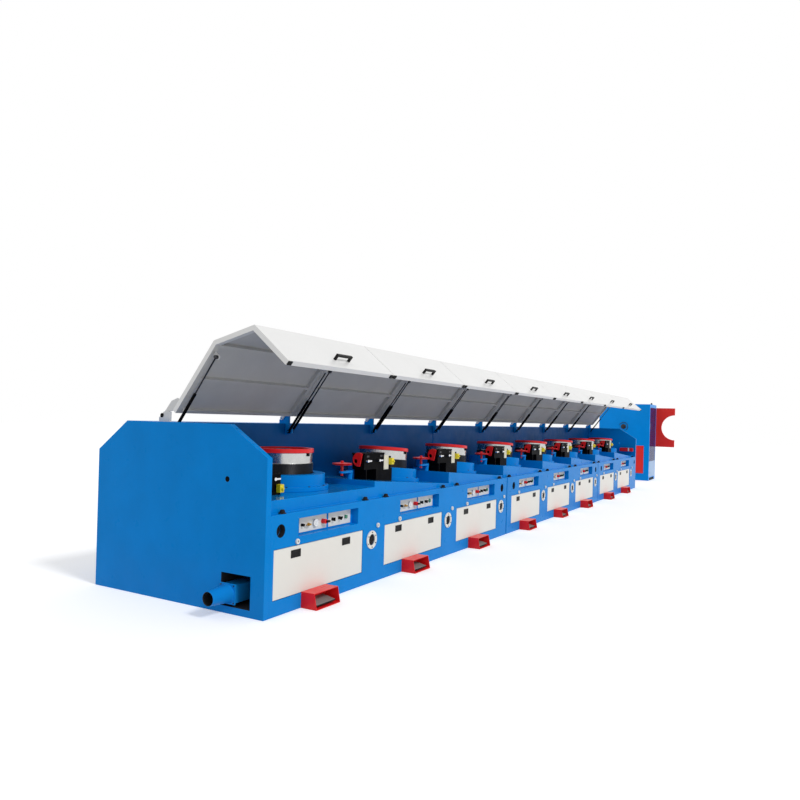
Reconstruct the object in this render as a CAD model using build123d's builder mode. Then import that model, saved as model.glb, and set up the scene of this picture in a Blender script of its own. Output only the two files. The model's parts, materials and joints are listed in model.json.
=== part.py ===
from build123d import *
from math import atan2, cos, degrees, hypot, radians, sin, tan
import os

os.makedirs("parts", exist_ok=True)

# A straight-line wire drawing machine: eight drawing blocks on three base frames, each block
# under its own swing-up hood, with the take-up stand that winds the wire at the exit end.
# Millimetres. X runs along the wire from the entry end, Y from the front to the rear, Z up.

# Driving dimensions of the base frames
BLOCKS_PER_FRAME = (3, 3, 2)
BLOCK_PITCH = 1730.0
SEAM_MARGIN = 90.0
EXIT_TAIL = 472.0
DEPTH = 2050.0
END_PLATE_THICKNESS = 60.0
SEAM_GAP = 24.0
JOINT_SETBACK = 40.0
LEDGE_HEIGHT = 825.0
WALL_TOP = 1550.0
REAR_WALL_Y = 1235.0
ROOF_REAR_Y = 1668.0
REAR_CHAMFER_Z = 1276.0
FRONT_CHAMFER_Y = 417.0
FRONT_CHAMFER_Z = 1290.0

# Deck: flat under the first block, then a saw tooth that falls towards the exit
DECK_FRONT_Y = 70.0
FIRST_DECK_HEIGHT = 935.0
DECK_LOW = 858.0
DECK_TILT = 4.5

# Access doors and their latches
DOOR_OFFSET = 112.0
DOOR_WIDTH = 1315.0
DOOR_BOTTOM = 132.0
DOOR_HEIGHT = 409.0
DOOR_POCKET_DEPTH = 25.0
DOOR_THICKNESS = 20.0
DOOR_GAP = 4.0
LATCH_OFFSETS = (219.0, 967.0)
LATCH_WIDTH = 130.0
LATCH_HEIGHT = 66.0
LATCH_Z = 477.0
LATCH_PROUD = 4.0
LATCH_GRIP_WIDTH = 80.0
LATCH_GRIP_HEIGHT = 33.0

# Control recess with its two plates
RECESS_OFFSET = 420.0
RECESS_WIDTH = 915.0
RECESS_BOTTOM = 615.0
RECESS_HEIGHT = 153.0
RECESS_DEPTH = 75.0
PLATE_OFFSETS = (518.0, 945.0)
PLATE_WIDTHS = (397.0, 358.0)
PLATE_HEIGHT = 131.0
PLATE_THICKNESS = 4.0

# Each knob or switch on the control plates is its place, its radius and its length
KNOBS = ((548.0, 13.0, 30.0), (735.0, 30.0, 18.0), (852.0, 22.0, 44.0))
SWITCHES = ((1005.0, 16.0, 26.0), (1112.0, 16.0, 26.0), (1218.0, 19.0, 16.0))
KNOB_SIDES = 12

# Vents, cable holes and the entry opening
VENT_OFFSET = 1580.0
VENT_HEIGHT = 430.0
VENT_RING_DIAMETER = 180.0
VENT_HOLE_DIAMETER = 112.0
VENT_RING_THICKNESS = 12.0
BLIND_HOLE_DEPTH = 60.0
CABLE_HOLE_DIAMETER = 110.0
CABLE_HOLE_HEIGHT = 690.0
CABLE_HOLE_LEAD = 190.0
CABLE_HOLE_TAIL = 200.0
ENTRY_OPENING_Y = (144.0, 461.0)
ENTRY_OPENING_Z = (60.0, 331.0)
ENTRY_POCKET_DEPTH = 420.0

# Duct stub in the entry opening
DUCT_CENTRE_Y = 378.0
DUCT_CENTRE_Z = 166.0
DUCT_FLANGE_SIZE = 168.0
DUCT_FLANGE_THICKNESS = 12.0
DUCT_ROOT_DIAMETER = 150.0
DUCT_MOUTH_DIAMETER = 118.0
DUCT_LENGTH = 215.0
DUCT_WALL = 4.0
DUCT_BODY_INSET = 10.0

# Wire line and drawing blocks
WIRE_Y = 423.0
WIRE_ENTRY_HEIGHT = 1098.0
WIRE_HEIGHT = 1172.0
WIRE_HOLE_DIAMETER = 46.0
FIRST_BLOCK_OFFSET = 1035.0
SEAM_BLOCK_OFFSET = 1100.0
BLOCK_OFFSET = 1168.0
BLOCK_CENTRE_Y = 700.0
BLOCK_RADIUS = 287.0
RIM_RADIUS = 299.0
RIM_HEIGHT = 40.0
BRIGHT_BAND_HEIGHT = 100.0
WOUND_WIRE_DEPTH = 5.0
RING_OUTER_RADIUS = 413.0
RING_INNER_RADIUS = 310.0
RING_FLANGE_RADIUS = 450.0
RING_FLANGE_HEIGHT = 40.0
RING_TOP = 150.0
RING_FLOOR = 20.0
BLOCK_BOTTOM = 100.0
BLOCK_TOP = 387.0
BLOCK_WALL = 30.0
BLOCK_DISH = 24.0
HUB_DISH = 8.0
SHAFT_RADIUS = 45.0
SHAFT_CLEARANCE = 0.3
BOSS_RADIUS = 85.0
BOSS_HEIGHT = 70.0
SHAFT_LIFT = 5.0
HUB_RADIUS = 70.0

# Die boxes on the wire line
DIE_BOX_OFFSET = 186.0
DIE_BOX_LENGTH = 402.0
DIE_FRONT_Y = 323.0
DIE_BOX_WIDTH = 150.0
DIE_BOX_BELOW_WIRE = 89.0
DIE_BOX_ABOVE_WIRE = 85.0
FIRST_DIE_BOX_LENGTH = 374.0
FIRST_DIE_BOX_ABOVE_WIRE = 25.0
DIE_LID_THICKNESS = 16.0
DIE_LID_OVERHANG = 7.0
DIE_BORE_DEPTH = 40.0
DIE_LEG_THICKNESS = 16.0
DIE_LEG_INSET = 40.0
DIE_TAIL_LENGTH = 152.0
DIE_TAIL_WIDTH = 75.0
DIE_TAIL_ABOVE_WIRE = 43.0
PEDESTAL_OFFSET = 430.0
PEDESTAL_TO_BLOCK = 400.0
SIDE_PLATE_START = 580.0
SIDE_PLATE_END = 678.0
SIDE_PLATE_BELOW_WIRE = 102.0
SIDE_PLATE_ABOVE_WIRE = 55.0
SIDE_PLATE_THICKNESS = 8.0
SWITCH_BOX_START = 684.0
SWITCH_BOX_SIZE = (54.0, 72.0)
SWITCH_BOX_BELOW_WIRE = 13.0
SWITCH_BOX_DEPTH = 45.0
FIRST_SWITCH_START = 500.0
FIRST_SWITCH_BELOW_WIRE = 106.0
CLAMP_OFFSETS = (30.0, 262.0)
CLAMP_ABOVE_WIRE = 5.0
FIRST_CLAMP_BELOW_WIRE = 20.0
CLAMP_BODY_RADIUS = 16.0
CLAMP_BODY_SIDES = 8
CLAMP_STAND = 38.0
CLAMP_LEVER_STAND = 20.0
CLAMP_LEVER_LEAD = 31.0
CLAMP_LEVER_LENGTH = 78.0
CLAMP_LEVER_SIZE = 16.0
GUARD_DISC_RADIUS = 75.0
GUARD_DISC_THICKNESS = 16.0
GUARD_DISC_Y = 385.0
GUARD_DISC_ABOVE_WIRE = 17.0

# Guide sheaves between the blocks
SHEAVE_OFFSET = -79.0
SHEAVE_RIM_Z = 1154.0
SHEAVE_RADIUS = 104.0
SHEAVE_RIM_THICKNESS = 8.0
SHEAVE_THICKNESS = 34.0
SHEAVE_GROOVE_RADIUS = 80.0
SHEAVE_POST_RADIUS = 15.0
SHEAVE_POST_BOTTOM = 1032.0
ARM_BOTTOM = 1058.0
ARM_THICKNESS = 22.0
ARM_WIDTH = 36.0
ARM_BOSS_OFFSET = 66.0
ARM_BOSS_RADIUS = 28.0
ARM_SEAT = 0.3

# Foot pedals in front of the base
PEDAL_OFFSET = 478.0
PEDAL_WIDTH = 348.0
PEDAL_HEIGHT = 138.0
PEDAL_BACK_Y = 0.0
PEDAL_TOP_FRONT_Y = -140.0
PEDAL_BOTTOM_FRONT_Y = -168.0
PEDAL_SHEET = 6.0
TREADLE_INSET = 40.0
TREADLE_THICKNESS = 14.0
TREADLE_SLOPE = 12.0

# Hoods, as they lie closed; the open pose is the rest pose
HOOD_PIVOT_Y = 1282.0
HOOD_PIVOT_Z = 1607.0
HOOD_OPEN_ANGLE = 48.5
HOOD_PROFILE = ((1170.0, 1553.2), (406.6, 1597.8), (21.6, 1336.8), (5.3, 864.0))
HOOD_SHEET = 8.0
HOOD_RIB_DEPTH = 42.0
HOOD_LIP_RIB_DEPTH = 45.0
HOOD_END_RIB_WIDTH = 60.0
HOOD_LONG_RIB_WIDTH = 30.0
HOOD_SIDE_GAP = 4.0
HOOD_END_CLEARANCE = 15.0
HANDLE_LENGTH = 235.0
HANDLE_STAND = 60.0
HANDLE_BAR = 22.0
HANDLE_UP_LIP = 120.0
HANDLE_SHIFT = 40.0
BUMPER_CLEARANCE = 5.0
BUMPER_BASE_RADIUS = 33.0
BUMPER_NECK_RADIUS = 22.0
BUMPER_CROWN_RADIUS = 14.0
BUMPER_BASE_HEIGHT = 5.0
BUMPER_LEAD = 167.0
BUMPER_TAIL = 218.0

# Hinges and struts of the hoods
HINGE_ARM_THICKNESS = 14.0
HINGE_KNUCKLE_RADIUS = 20.0
HINGE_PIN_RADIUS = 8.0
HINGE_ARM_STEP = (1128.0, 1629.0)
HINGE_ARM_FRONT = (1060.0, 1592.0)
HINGE_ARM_NECK = (1216.0, 1587.0)
PIVOT_CLEARANCE = 0.3
GUSSET_FRONT = 1190.0
GUSSET_TOP = 1640.0
GUSSET_REAR = 1322.0
GUSSET_NOSE = 1146.0
GUSSET_FOOT_Z = (1424.0, 1446.0, 1488.0, 1500.0)
STRUT_INSET = 24.0
STRUT_FOOT_Y = 1177.0
STRUT_FOOT_Z = 1460.0
STRUT_OPEN_ANGLE = 53.3
STRUT_OPEN_LENGTH = 820.0
STRUT_TUBE_RADIUS = 14.0
STRUT_TUBE_LENGTH = 430.0
STRUT_ROD_RADIUS = 7.0
STRUT_ROD_OVERLAP = 150.0
STRUT_EYE_RADIUS = 16.0
STRUT_EYE_WIDTH = 29.0
STRUT_NECK_OVERLAP = 4.0
STRUT_PLATE_THICKNESS = 10.0
STRUT_PLATE_RADIUS = 24.0

# Rear covers
REAR_COVER_WIDTH = 1315.0
REAR_COVER_BOTTOM = 180.0
REAR_COVER_HEIGHT = 900.0
REAR_COVER_THICKNESS = 12.0

# Exit guide
EXIT_GUIDE_LENGTH = 330.0
EXIT_GUIDE_SIZE = 90.0
EXIT_GUIDE_HEIGHT = 960.0
EXIT_GUIDE_Y = 60.0

# Take-up stand
TAKEUP_GAP = 2746.0
TAKEUP_LENGTH = 1082.0
TAKEUP_FRONT_Y = 150.0
TAKEUP_REAR_Y = 1650.0
TAKEUP_HEIGHT = 2300.0
TAKEUP_WALL = 60.0
TAKEUP_WINDOW_THICKNESS = 10.0
TAKEUP_WINDOW_BOTTOM = 110.0
TAKEUP_WINDOW_TOP = 2200.0
GUARD_BOTTOM = 1007.0
GUARD_TOP = 2215.0
GUARD_FRONT_Y = -400.0
GUARD_BACK_Y = 320.0
GUARD_THICKNESS = 40.0
GUARD_NOTCH_RADIUS = 385.0
TAKEUP_DOOR_Y = (305.0, 980.0)
TAKEUP_DOOR_Z = (219.0, 1044.0)
TAKEUP_DOOR_THICKNESS = 12.0

# Stations and frames, worked out from the pitch
frame_spans = []
stations = []
hood_starts = []
cursor = 0.0
for index, count in enumerate(BLOCKS_PER_FRAME):
    frame_start = cursor
    lead = SEAM_MARGIN if index else 0.0
    last = index == len(BLOCKS_PER_FRAME) - 1
    frame_end = frame_start + lead + count * BLOCK_PITCH + (EXIT_TAIL if last else SEAM_MARGIN)
    frame_stations = [frame_start + lead + k * BLOCK_PITCH for k in range(count)]
    frame_spans.append((frame_start, frame_end, frame_stations))
    hood_starts += [frame_start] + frame_stations[1:]
    stations += frame_stations
    cursor = frame_end
MACHINE_LENGTH = cursor
INNER_START = END_PLATE_THICKNESS
INNER_END = MACHINE_LENGTH - END_PLATE_THICKNESS
DECK_HIGH = DECK_LOW + BLOCK_PITCH * tan(radians(DECK_TILT))

hood_spans = []
for k, start in enumerate(hood_starts):
    end = hood_starts[k + 1] if k + 1 < len(hood_starts) else INNER_END
    low = INNER_START + HOOD_END_CLEARANCE if k == 0 else start + HOOD_SIDE_GAP
    high = end - (HOOD_SIDE_GAP if k + 1 < len(hood_starts) else HOOD_END_CLEARANCE)
    hood_spans.append((low, high))


def deck_height(k, x):
    """Height of the deck of block k at a place along the machine."""
    if k == 0:
        return FIRST_DECK_HEIGHT
    return DECK_HIGH - (x - stations[k]) * tan(radians(DECK_TILT))


def block_x(k):
    """The place of a drawing block, nearer to its station at the start of each frame."""
    starts = [own[0] for _, _, own in frame_spans]
    if k == 0:
        return stations[k] + FIRST_BLOCK_OFFSET
    return stations[k] + (SEAM_BLOCK_OFFSET if stations[k] in starts else BLOCK_OFFSET)


def deck_plane(k, x, y):
    """A plane that lies on the deck of block k, tilted as the deck is."""
    tilt = radians(DECK_TILT) if k else 0.0
    origin = (x, y, deck_height(k, x))
    return Plane(origin=origin, x_dir=(cos(tilt), 0, -sin(tilt)), z_dir=(sin(tilt), 0, cos(tilt)))


def front_plane(y):
    """A plane that faces the front, with X to the right and Z up."""
    return Plane(origin=(0, y, 0), x_dir=(1, 0, 0), z_dir=(0, -1, 0))


def across_plane(x):
    """A plane across the machine, with Y to the right and Z up."""
    return Plane(origin=(x, 0, 0), x_dir=(0, 1, 0), z_dir=(1, 0, 0))


def opened(point, angle=HOOD_OPEN_ANGLE):
    """Turn a point (Y, Z) of the closed hood to the open pose."""
    dy = point[0] - HOOD_PIVOT_Y
    dz = point[1] - HOOD_PIVOT_Z
    c = cos(radians(angle))
    s = sin(radians(angle))
    return (HOOD_PIVOT_Y + dy * c + dz * s, HOOD_PIVOT_Z - dy * s + dz * c)


def save(name, part):
    """Label a finished piece and write it."""
    part.label = name
    export_step(part, "parts/" + name + ".step")


# End plates with the wire holes, and the opening for the duct at the entry end
def end_outline():
    Polyline(
        (0, 0),
        (DEPTH, 0),
        (DEPTH, REAR_CHAMFER_Z),
        (ROOF_REAR_Y, WALL_TOP),
        (FRONT_CHAMFER_Y, WALL_TOP),
        (0, FRONT_CHAMFER_Z),
        close=True,
    )


entry_opening_centre = (sum(ENTRY_OPENING_Y) / 2, sum(ENTRY_OPENING_Z) / 2)
entry_opening_size = (
    ENTRY_OPENING_Y[1] - ENTRY_OPENING_Y[0],
    ENTRY_OPENING_Z[1] - ENTRY_OPENING_Z[0],
)

with BuildPart() as end_plates:
    with BuildSketch(across_plane(0)):
        with BuildLine():
            end_outline()
        make_face()
        with Locations((WIRE_Y, WIRE_ENTRY_HEIGHT)):
            Circle(WIRE_HOLE_DIAMETER / 2, mode=Mode.SUBTRACT)
        with Locations(entry_opening_centre):
            Rectangle(*entry_opening_size, mode=Mode.SUBTRACT)
    extrude(amount=END_PLATE_THICKNESS)
    with BuildSketch(across_plane(INNER_END)):
        with BuildLine():
            end_outline()
        make_face()
        with Locations((WIRE_Y, WIRE_HEIGHT)):
            Circle(WIRE_HOLE_DIAMETER / 2, mode=Mode.SUBTRACT)
    extrude(amount=END_PLATE_THICKNESS)
save("end_plates", end_plates.part)


# Base frames: a closed housing with the deck, the door pockets, recesses and blind holes
def frame_limits(index):
    """The X limits of a frame between the end plates and the seams."""
    start, end, _ = frame_spans[index]
    low = INNER_START if index == 0 else start + SEAM_GAP / 2
    high = INNER_END if index == len(frame_spans) - 1 else end - SEAM_GAP / 2
    return low, high


def deck_outline(index, low, high):
    """The side view of a frame's deck, a saw tooth of one tooth a block."""
    points = [(low, LEDGE_HEIGHT)]
    own = frame_spans[index][2]
    for x in own:
        k = stations.index(x)
        first = max(x, low)
        left = low if x == own[0] else first
        right = high if x == own[-1] else x + BLOCK_PITCH
        points.append((left, deck_height(k, first)))
        if left < first:
            points.append((first, deck_height(k, first)))
        points.append((x + BLOCK_PITCH, deck_height(k, x + BLOCK_PITCH)))
        if right > x + BLOCK_PITCH:
            points.append((right, deck_height(k, x + BLOCK_PITCH)))
    points.append((high, LEDGE_HEIGHT))
    return points


door_places = [x + DOOR_OFFSET + DOOR_WIDTH / 2 for x in stations]
door_z = DOOR_BOTTOM + DOOR_HEIGHT / 2
recess_z = RECESS_BOTTOM + RECESS_HEIGHT / 2


def cable_hole_places(index):
    start, end, own = frame_spans[index]
    return [own[0] + CABLE_HOLE_LEAD, end - CABLE_HOLE_TAIL]


def make_frame(index):
    low, high = frame_limits(index)
    own = frame_spans[index][2]
    with BuildPart() as frame:
        with BuildSketch(front_plane(0)):
            with Locations(((low + high) / 2, LEDGE_HEIGHT / 2)):
                Rectangle(high - low, LEDGE_HEIGHT)
        extrude(amount=-REAR_WALL_Y)
        with BuildSketch(front_plane(DECK_FRONT_Y)):
            with BuildLine():
                Polyline(*deck_outline(index, low, high), close=True)
            make_face()
        extrude(amount=-(REAR_WALL_Y - DECK_FRONT_Y))
        if index:
            with BuildSketch(across_plane(low)):
                with Locations((REAR_WALL_Y / 2, LEDGE_HEIGHT / 2)):
                    Rectangle(REAR_WALL_Y - 2 * JOINT_SETBACK, LEDGE_HEIGHT - 2 * JOINT_SETBACK)
            extrude(amount=-SEAM_GAP)
        with BuildSketch(front_plane(0)):
            with Locations(*[(x + DOOR_OFFSET + DOOR_WIDTH / 2, door_z) for x in own]):
                Rectangle(DOOR_WIDTH + 2 * DOOR_GAP, DOOR_HEIGHT + 2 * DOOR_GAP)
        extrude(amount=-DOOR_POCKET_DEPTH, mode=Mode.SUBTRACT)
        with BuildSketch(front_plane(0)):
            with Locations(*[(x + RECESS_OFFSET + RECESS_WIDTH / 2, recess_z) for x in own]):
                Rectangle(RECESS_WIDTH, RECESS_HEIGHT)
        extrude(amount=-RECESS_DEPTH, mode=Mode.SUBTRACT)
        with BuildSketch(front_plane(0)):
            with Locations(*[(x + VENT_OFFSET, VENT_HEIGHT) for x in own]):
                Circle(VENT_HOLE_DIAMETER / 2)
            with Locations(*[(x, CABLE_HOLE_HEIGHT) for x in cable_hole_places(index)]):
                Circle(CABLE_HOLE_DIAMETER / 2)
        extrude(amount=-BLIND_HOLE_DEPTH, mode=Mode.SUBTRACT)
        if index == 0:
            with BuildSketch(across_plane(low)):
                with Locations(entry_opening_centre):
                    Rectangle(*entry_opening_size)
            extrude(amount=ENTRY_POCKET_DEPTH, mode=Mode.SUBTRACT)
    return frame.part


for index in range(len(frame_spans)):
    save("frame_" + str(index + 1), make_frame(index))


# Rear housings, which carry the hood hinges on their roof
def make_rear_housing(index):
    low, high = frame_limits(index)
    with BuildPart() as housing:
        with BuildSketch(across_plane(low)):
            with BuildLine():
                Polyline(
                    (REAR_WALL_Y, 0),
                    (DEPTH, 0),
                    (DEPTH, REAR_CHAMFER_Z),
                    (ROOF_REAR_Y, WALL_TOP),
                    (REAR_WALL_Y, WALL_TOP),
                    close=True,
                )
            make_face()
        extrude(amount=high - low)
        if index:
            depth = DEPTH - REAR_WALL_Y - 2 * JOINT_SETBACK
            height = REAR_CHAMFER_Z - 2 * JOINT_SETBACK
            with BuildSketch(across_plane(low)):
                with Locations(((REAR_WALL_Y + DEPTH) / 2, REAR_CHAMFER_Z / 2)):
                    Rectangle(depth, height)
            extrude(amount=-SEAM_GAP)
    return housing.part


for index in range(len(frame_spans)):
    save("rear_housing_" + str(index + 1), make_rear_housing(index))

with BuildPart() as rear_covers:
    cover_z = REAR_COVER_BOTTOM + REAR_COVER_HEIGHT / 2
    with BuildSketch(Plane(origin=(0, DEPTH, 0), x_dir=(-1, 0, 0), z_dir=(0, 1, 0))):
        with Locations(*[(-x, cover_z) for x in door_places]):
            Rectangle(REAR_COVER_WIDTH, REAR_COVER_HEIGHT)
    extrude(amount=REAR_COVER_THICKNESS)
    outer_edges = rear_covers.edges().filter_by(GeomType.LINE).filter_by(Plane.XZ)
    outer_edges = outer_edges.group_by(Axis.Y)[-1]
    chamfer(outer_edges, REAR_COVER_THICKNESS / 3)
save("rear_covers", rear_covers.part)

# Access doors and latches
with BuildPart() as access_doors:
    with BuildSketch(front_plane(DOOR_POCKET_DEPTH)):
        with Locations(*[(x, door_z) for x in door_places]):
            Rectangle(DOOR_WIDTH, DOOR_HEIGHT)
    extrude(amount=DOOR_THICKNESS)
save("access_doors", access_doors.part)

latch_places = [
    (x + DOOR_OFFSET + offset + LATCH_WIDTH / 2, LATCH_Z) for x in stations for offset in LATCH_OFFSETS
]
with BuildPart() as door_latches:
    with BuildSketch(front_plane(DOOR_POCKET_DEPTH - DOOR_THICKNESS)):
        with Locations(*latch_places):
            Rectangle(LATCH_WIDTH, LATCH_HEIGHT)
    extrude(amount=LATCH_PROUD)
    with BuildSketch(front_plane(DOOR_POCKET_DEPTH - DOOR_THICKNESS - LATCH_PROUD)):
        with Locations(*latch_places):
            Rectangle(LATCH_GRIP_WIDTH, LATCH_GRIP_HEIGHT)
    extrude(amount=-LATCH_PROUD / 2, mode=Mode.SUBTRACT)
save("door_latches", door_latches.part)

# Control plates stand at the back of the recess, with their knobs and dials on them
plate_face_y = RECESS_DEPTH - PLATE_THICKNESS
with BuildPart() as control_plates:
    for offset, width in zip(PLATE_OFFSETS, PLATE_WIDTHS):
        with BuildSketch(front_plane(RECESS_DEPTH)):
            with Locations(*[(x + offset + width / 2, recess_z) for x in stations]):
                Rectangle(width, PLATE_HEIGHT)
        extrude(amount=PLATE_THICKNESS)
save("control_plates", control_plates.part)

with BuildPart() as control_knobs:
    for offset, radius, length in KNOBS + SWITCHES:
        with BuildSketch(front_plane(plate_face_y)):
            with Locations(*[(x + offset, recess_z) for x in stations]):
                RegularPolygon(radius, KNOB_SIDES)
        extrude(amount=length)
save("control_knobs", control_knobs.part)

# Vent rings
with BuildPart() as vent_rings:
    for x in stations:
        with BuildSketch(front_plane(0)):
            with Locations((x + VENT_OFFSET, VENT_HEIGHT)):
                Circle(VENT_RING_DIAMETER / 2)
                Circle(VENT_HOLE_DIAMETER / 2, mode=Mode.SUBTRACT)
        extrude(amount=VENT_RING_THICKNESS)
save("vent_rings", vent_rings.part)

# Duct stub: a square flange on a collar that reaches back to the frame, and a tapered spout
with BuildPart() as duct_outlet:
    with BuildSketch(across_plane(END_PLATE_THICKNESS + ENTRY_POCKET_DEPTH)):
        with Locations((DUCT_CENTRE_Y, DUCT_CENTRE_Z)):
            Rectangle(DUCT_FLANGE_SIZE - 2 * DUCT_BODY_INSET, DUCT_FLANGE_SIZE - 2 * DUCT_BODY_INSET)
    extrude(amount=-(END_PLATE_THICKNESS + ENTRY_POCKET_DEPTH))
    with BuildSketch(across_plane(0)):
        with Locations((DUCT_CENTRE_Y, DUCT_CENTRE_Z)):
            Rectangle(DUCT_FLANGE_SIZE, DUCT_FLANGE_SIZE)
    extrude(amount=-DUCT_FLANGE_THICKNESS)
    with BuildSketch(across_plane(-DUCT_FLANGE_THICKNESS)):
        with Locations((DUCT_CENTRE_Y, DUCT_CENTRE_Z)):
            Circle(DUCT_ROOT_DIAMETER / 2)
    with BuildSketch(across_plane(-DUCT_FLANGE_THICKNESS - DUCT_LENGTH)):
        with Locations((DUCT_CENTRE_Y, DUCT_CENTRE_Z)):
            Circle(DUCT_MOUTH_DIAMETER / 2)
    loft()
    with BuildSketch(across_plane(-DUCT_FLANGE_THICKNESS)):
        with Locations((DUCT_CENTRE_Y, DUCT_CENTRE_Z)):
            Circle(DUCT_ROOT_DIAMETER / 2 - DUCT_WALL)
    with BuildSketch(across_plane(-DUCT_FLANGE_THICKNESS - DUCT_LENGTH)):
        with Locations((DUCT_CENTRE_Y, DUCT_CENTRE_Z)):
            Circle(DUCT_MOUTH_DIAMETER / 2 - DUCT_WALL)
    loft(mode=Mode.SUBTRACT)
save("duct_outlet", duct_outlet.part)

# Drawing blocks in their ring housings
with BuildPart() as ring_housings:
    for k in range(len(stations)):
        base = deck_plane(k, block_x(k), BLOCK_CENTRE_Y)
        with BuildSketch(base):
            Circle(RING_FLANGE_RADIUS)
        extrude(amount=RING_FLANGE_HEIGHT)
        with BuildSketch(base):
            Circle(RING_OUTER_RADIUS)
        extrude(amount=RING_TOP)
        with BuildSketch(base.offset(RING_FLOOR)):
            Circle(RING_INNER_RADIUS)
            Circle(BOSS_RADIUS, mode=Mode.SUBTRACT)
        extrude(amount=RING_TOP - RING_FLOOR, mode=Mode.SUBTRACT)
        with BuildSketch(base.offset(BOSS_HEIGHT)):
            Circle(BOSS_RADIUS)
        extrude(amount=RING_TOP - BOSS_HEIGHT, mode=Mode.SUBTRACT)
        with BuildSketch(base.offset(SHAFT_LIFT)):
            Circle(SHAFT_RADIUS + SHAFT_CLEARANCE)
        extrude(amount=BOSS_HEIGHT, mode=Mode.SUBTRACT)
save("ring_housings", ring_housings.part)


def make_capstan(k):
    """A drawing block: shaft, hub and drum with its wound wire, bright band and raised rim."""
    axis_plane = deck_plane(k, block_x(k), BLOCK_CENTRE_Y)
    wound_radius = BLOCK_RADIUS + WOUND_WIRE_DEPTH
    wound_top = BLOCK_TOP - RIM_HEIGHT - BRIGHT_BAND_HEIGHT
    profile_plane = Plane(origin=axis_plane.origin, x_dir=axis_plane.x_dir, z_dir=(0, -1, 0))
    with BuildPart() as capstan:
        with BuildSketch(profile_plane):
            with BuildLine():
                Polyline(
                    (0, SHAFT_LIFT + SHAFT_CLEARANCE),
                    (SHAFT_RADIUS, SHAFT_LIFT + SHAFT_CLEARANCE),
                    (SHAFT_RADIUS, BLOCK_BOTTOM),
                    (wound_radius, BLOCK_BOTTOM),
                    (wound_radius, wound_top),
                    (BLOCK_RADIUS, wound_top),
                    (BLOCK_RADIUS, BLOCK_TOP - RIM_HEIGHT),
                    (RIM_RADIUS, BLOCK_TOP - RIM_HEIGHT),
                    (RIM_RADIUS, BLOCK_TOP),
                    (BLOCK_RADIUS - BLOCK_WALL, BLOCK_TOP),
                    (BLOCK_RADIUS - BLOCK_WALL, BLOCK_TOP - BLOCK_DISH),
                    (HUB_RADIUS, BLOCK_TOP - BLOCK_DISH),
                    (HUB_RADIUS, BLOCK_TOP - HUB_DISH),
                    (0, BLOCK_TOP - HUB_DISH),
                    close=True,
                )
            make_face()
        revolve(axis=Axis(axis_plane.origin, axis_plane.z_dir))
    return capstan.part


for k in range(len(stations)):
    save("capstan_" + str(k + 1), make_capstan(k))


# Die boxes: a closed black box with its lid, on a leg and a pedestal, with its plates and clamps
def wire_height(k):
    return WIRE_HEIGHT if k else WIRE_ENTRY_HEIGHT


with BuildPart() as die_boxes:
    for k, x in enumerate(stations):
        wire = wire_height(k)
        left = x + DIE_BOX_OFFSET
        shelf = wire - DIE_BOX_BELOW_WIRE
        if k:
            right = left + DIE_BOX_LENGTH
            top = wire + DIE_BOX_ABOVE_WIRE
            bottom = shelf
        else:
            right = left + FIRST_DIE_BOX_LENGTH
            top = wire + FIRST_DIE_BOX_ABOVE_WIRE
            bottom = FIRST_DECK_HEIGHT
        # The box and its lid; the tail behind the side plate and the switch box
        lid_y = DIE_FRONT_Y - DIE_LID_OVERHANG
        lid_depth = DIE_BOX_WIDTH + 2 * DIE_LID_OVERHANG
        blocks = [
            (left, right, bottom, top, DIE_FRONT_Y, DIE_BOX_WIDTH),
            (left, right, top - DIE_LID_THICKNESS, top, lid_y, lid_depth),
        ]
        if k:
            tail_top = wire + DIE_TAIL_ABOVE_WIRE
            blocks.append((right, right + DIE_TAIL_LENGTH, shelf, tail_top, DIE_FRONT_Y, DIE_TAIL_WIDTH))
        for start, end, low, high, face_y, depth in blocks:
            with BuildSketch(front_plane(face_y)):
                with Locations(((start + end) / 2, (low + high) / 2)):
                    Rectangle(end - start, high - low)
            extrude(amount=-depth)
        # The pedestal and the leg, which stand on the sloping deck
        leg_x = left + DIE_LEG_INSET
        stands = ((x + PEDESTAL_OFFSET, block_x(k) - PEDESTAL_TO_BLOCK), (leg_x, leg_x + DIE_LEG_THICKNESS))
        for start, end in stands if k else ():
            with BuildSketch(front_plane(DIE_FRONT_Y)):
                with BuildLine():
                    Polyline(
                        (start, shelf),
                        (start, deck_height(k, start)),
                        (end, deck_height(k, end)),
                        (end, shelf),
                        close=True,
                    )
                make_face()
            extrude(amount=-DIE_BOX_WIDTH)
        for end_x, depth in ((left, DIE_BORE_DEPTH), (right, -DIE_BORE_DEPTH)):
            with BuildSketch(across_plane(end_x)):
                with Locations((WIRE_Y, wire)):
                    Circle(WIRE_HOLE_DIAMETER / 2)
            extrude(amount=depth, mode=Mode.SUBTRACT)
save("die_boxes", die_boxes.part)

# The pale plate and the switch box stand on the front; the first box has only its switch box
with BuildPart() as die_side_plates:
    for k, x in enumerate(stations):
        wire = wire_height(k)
        switch_x = x + (SWITCH_BOX_START if k else FIRST_SWITCH_START) + SWITCH_BOX_SIZE[0] / 2
        switch_z = wire - (SWITCH_BOX_BELOW_WIRE if k else FIRST_SWITCH_BELOW_WIRE)
        with BuildSketch(front_plane(DIE_FRONT_Y)):
            with Locations((switch_x, switch_z)):
                Rectangle(*SWITCH_BOX_SIZE)
        extrude(amount=SWITCH_BOX_DEPTH)
        if k:
            plate_x = x + (SIDE_PLATE_START + SIDE_PLATE_END) / 2
            plate_z = wire + (SIDE_PLATE_ABOVE_WIRE - SIDE_PLATE_BELOW_WIRE) / 2
            plate_height = SIDE_PLATE_ABOVE_WIRE + SIDE_PLATE_BELOW_WIRE
            with BuildSketch(front_plane(DIE_FRONT_Y)):
                with Locations((plate_x, plate_z)):
                    Rectangle(SIDE_PLATE_END - SIDE_PLATE_START, plate_height)
            extrude(amount=SIDE_PLATE_THICKNESS)
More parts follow.
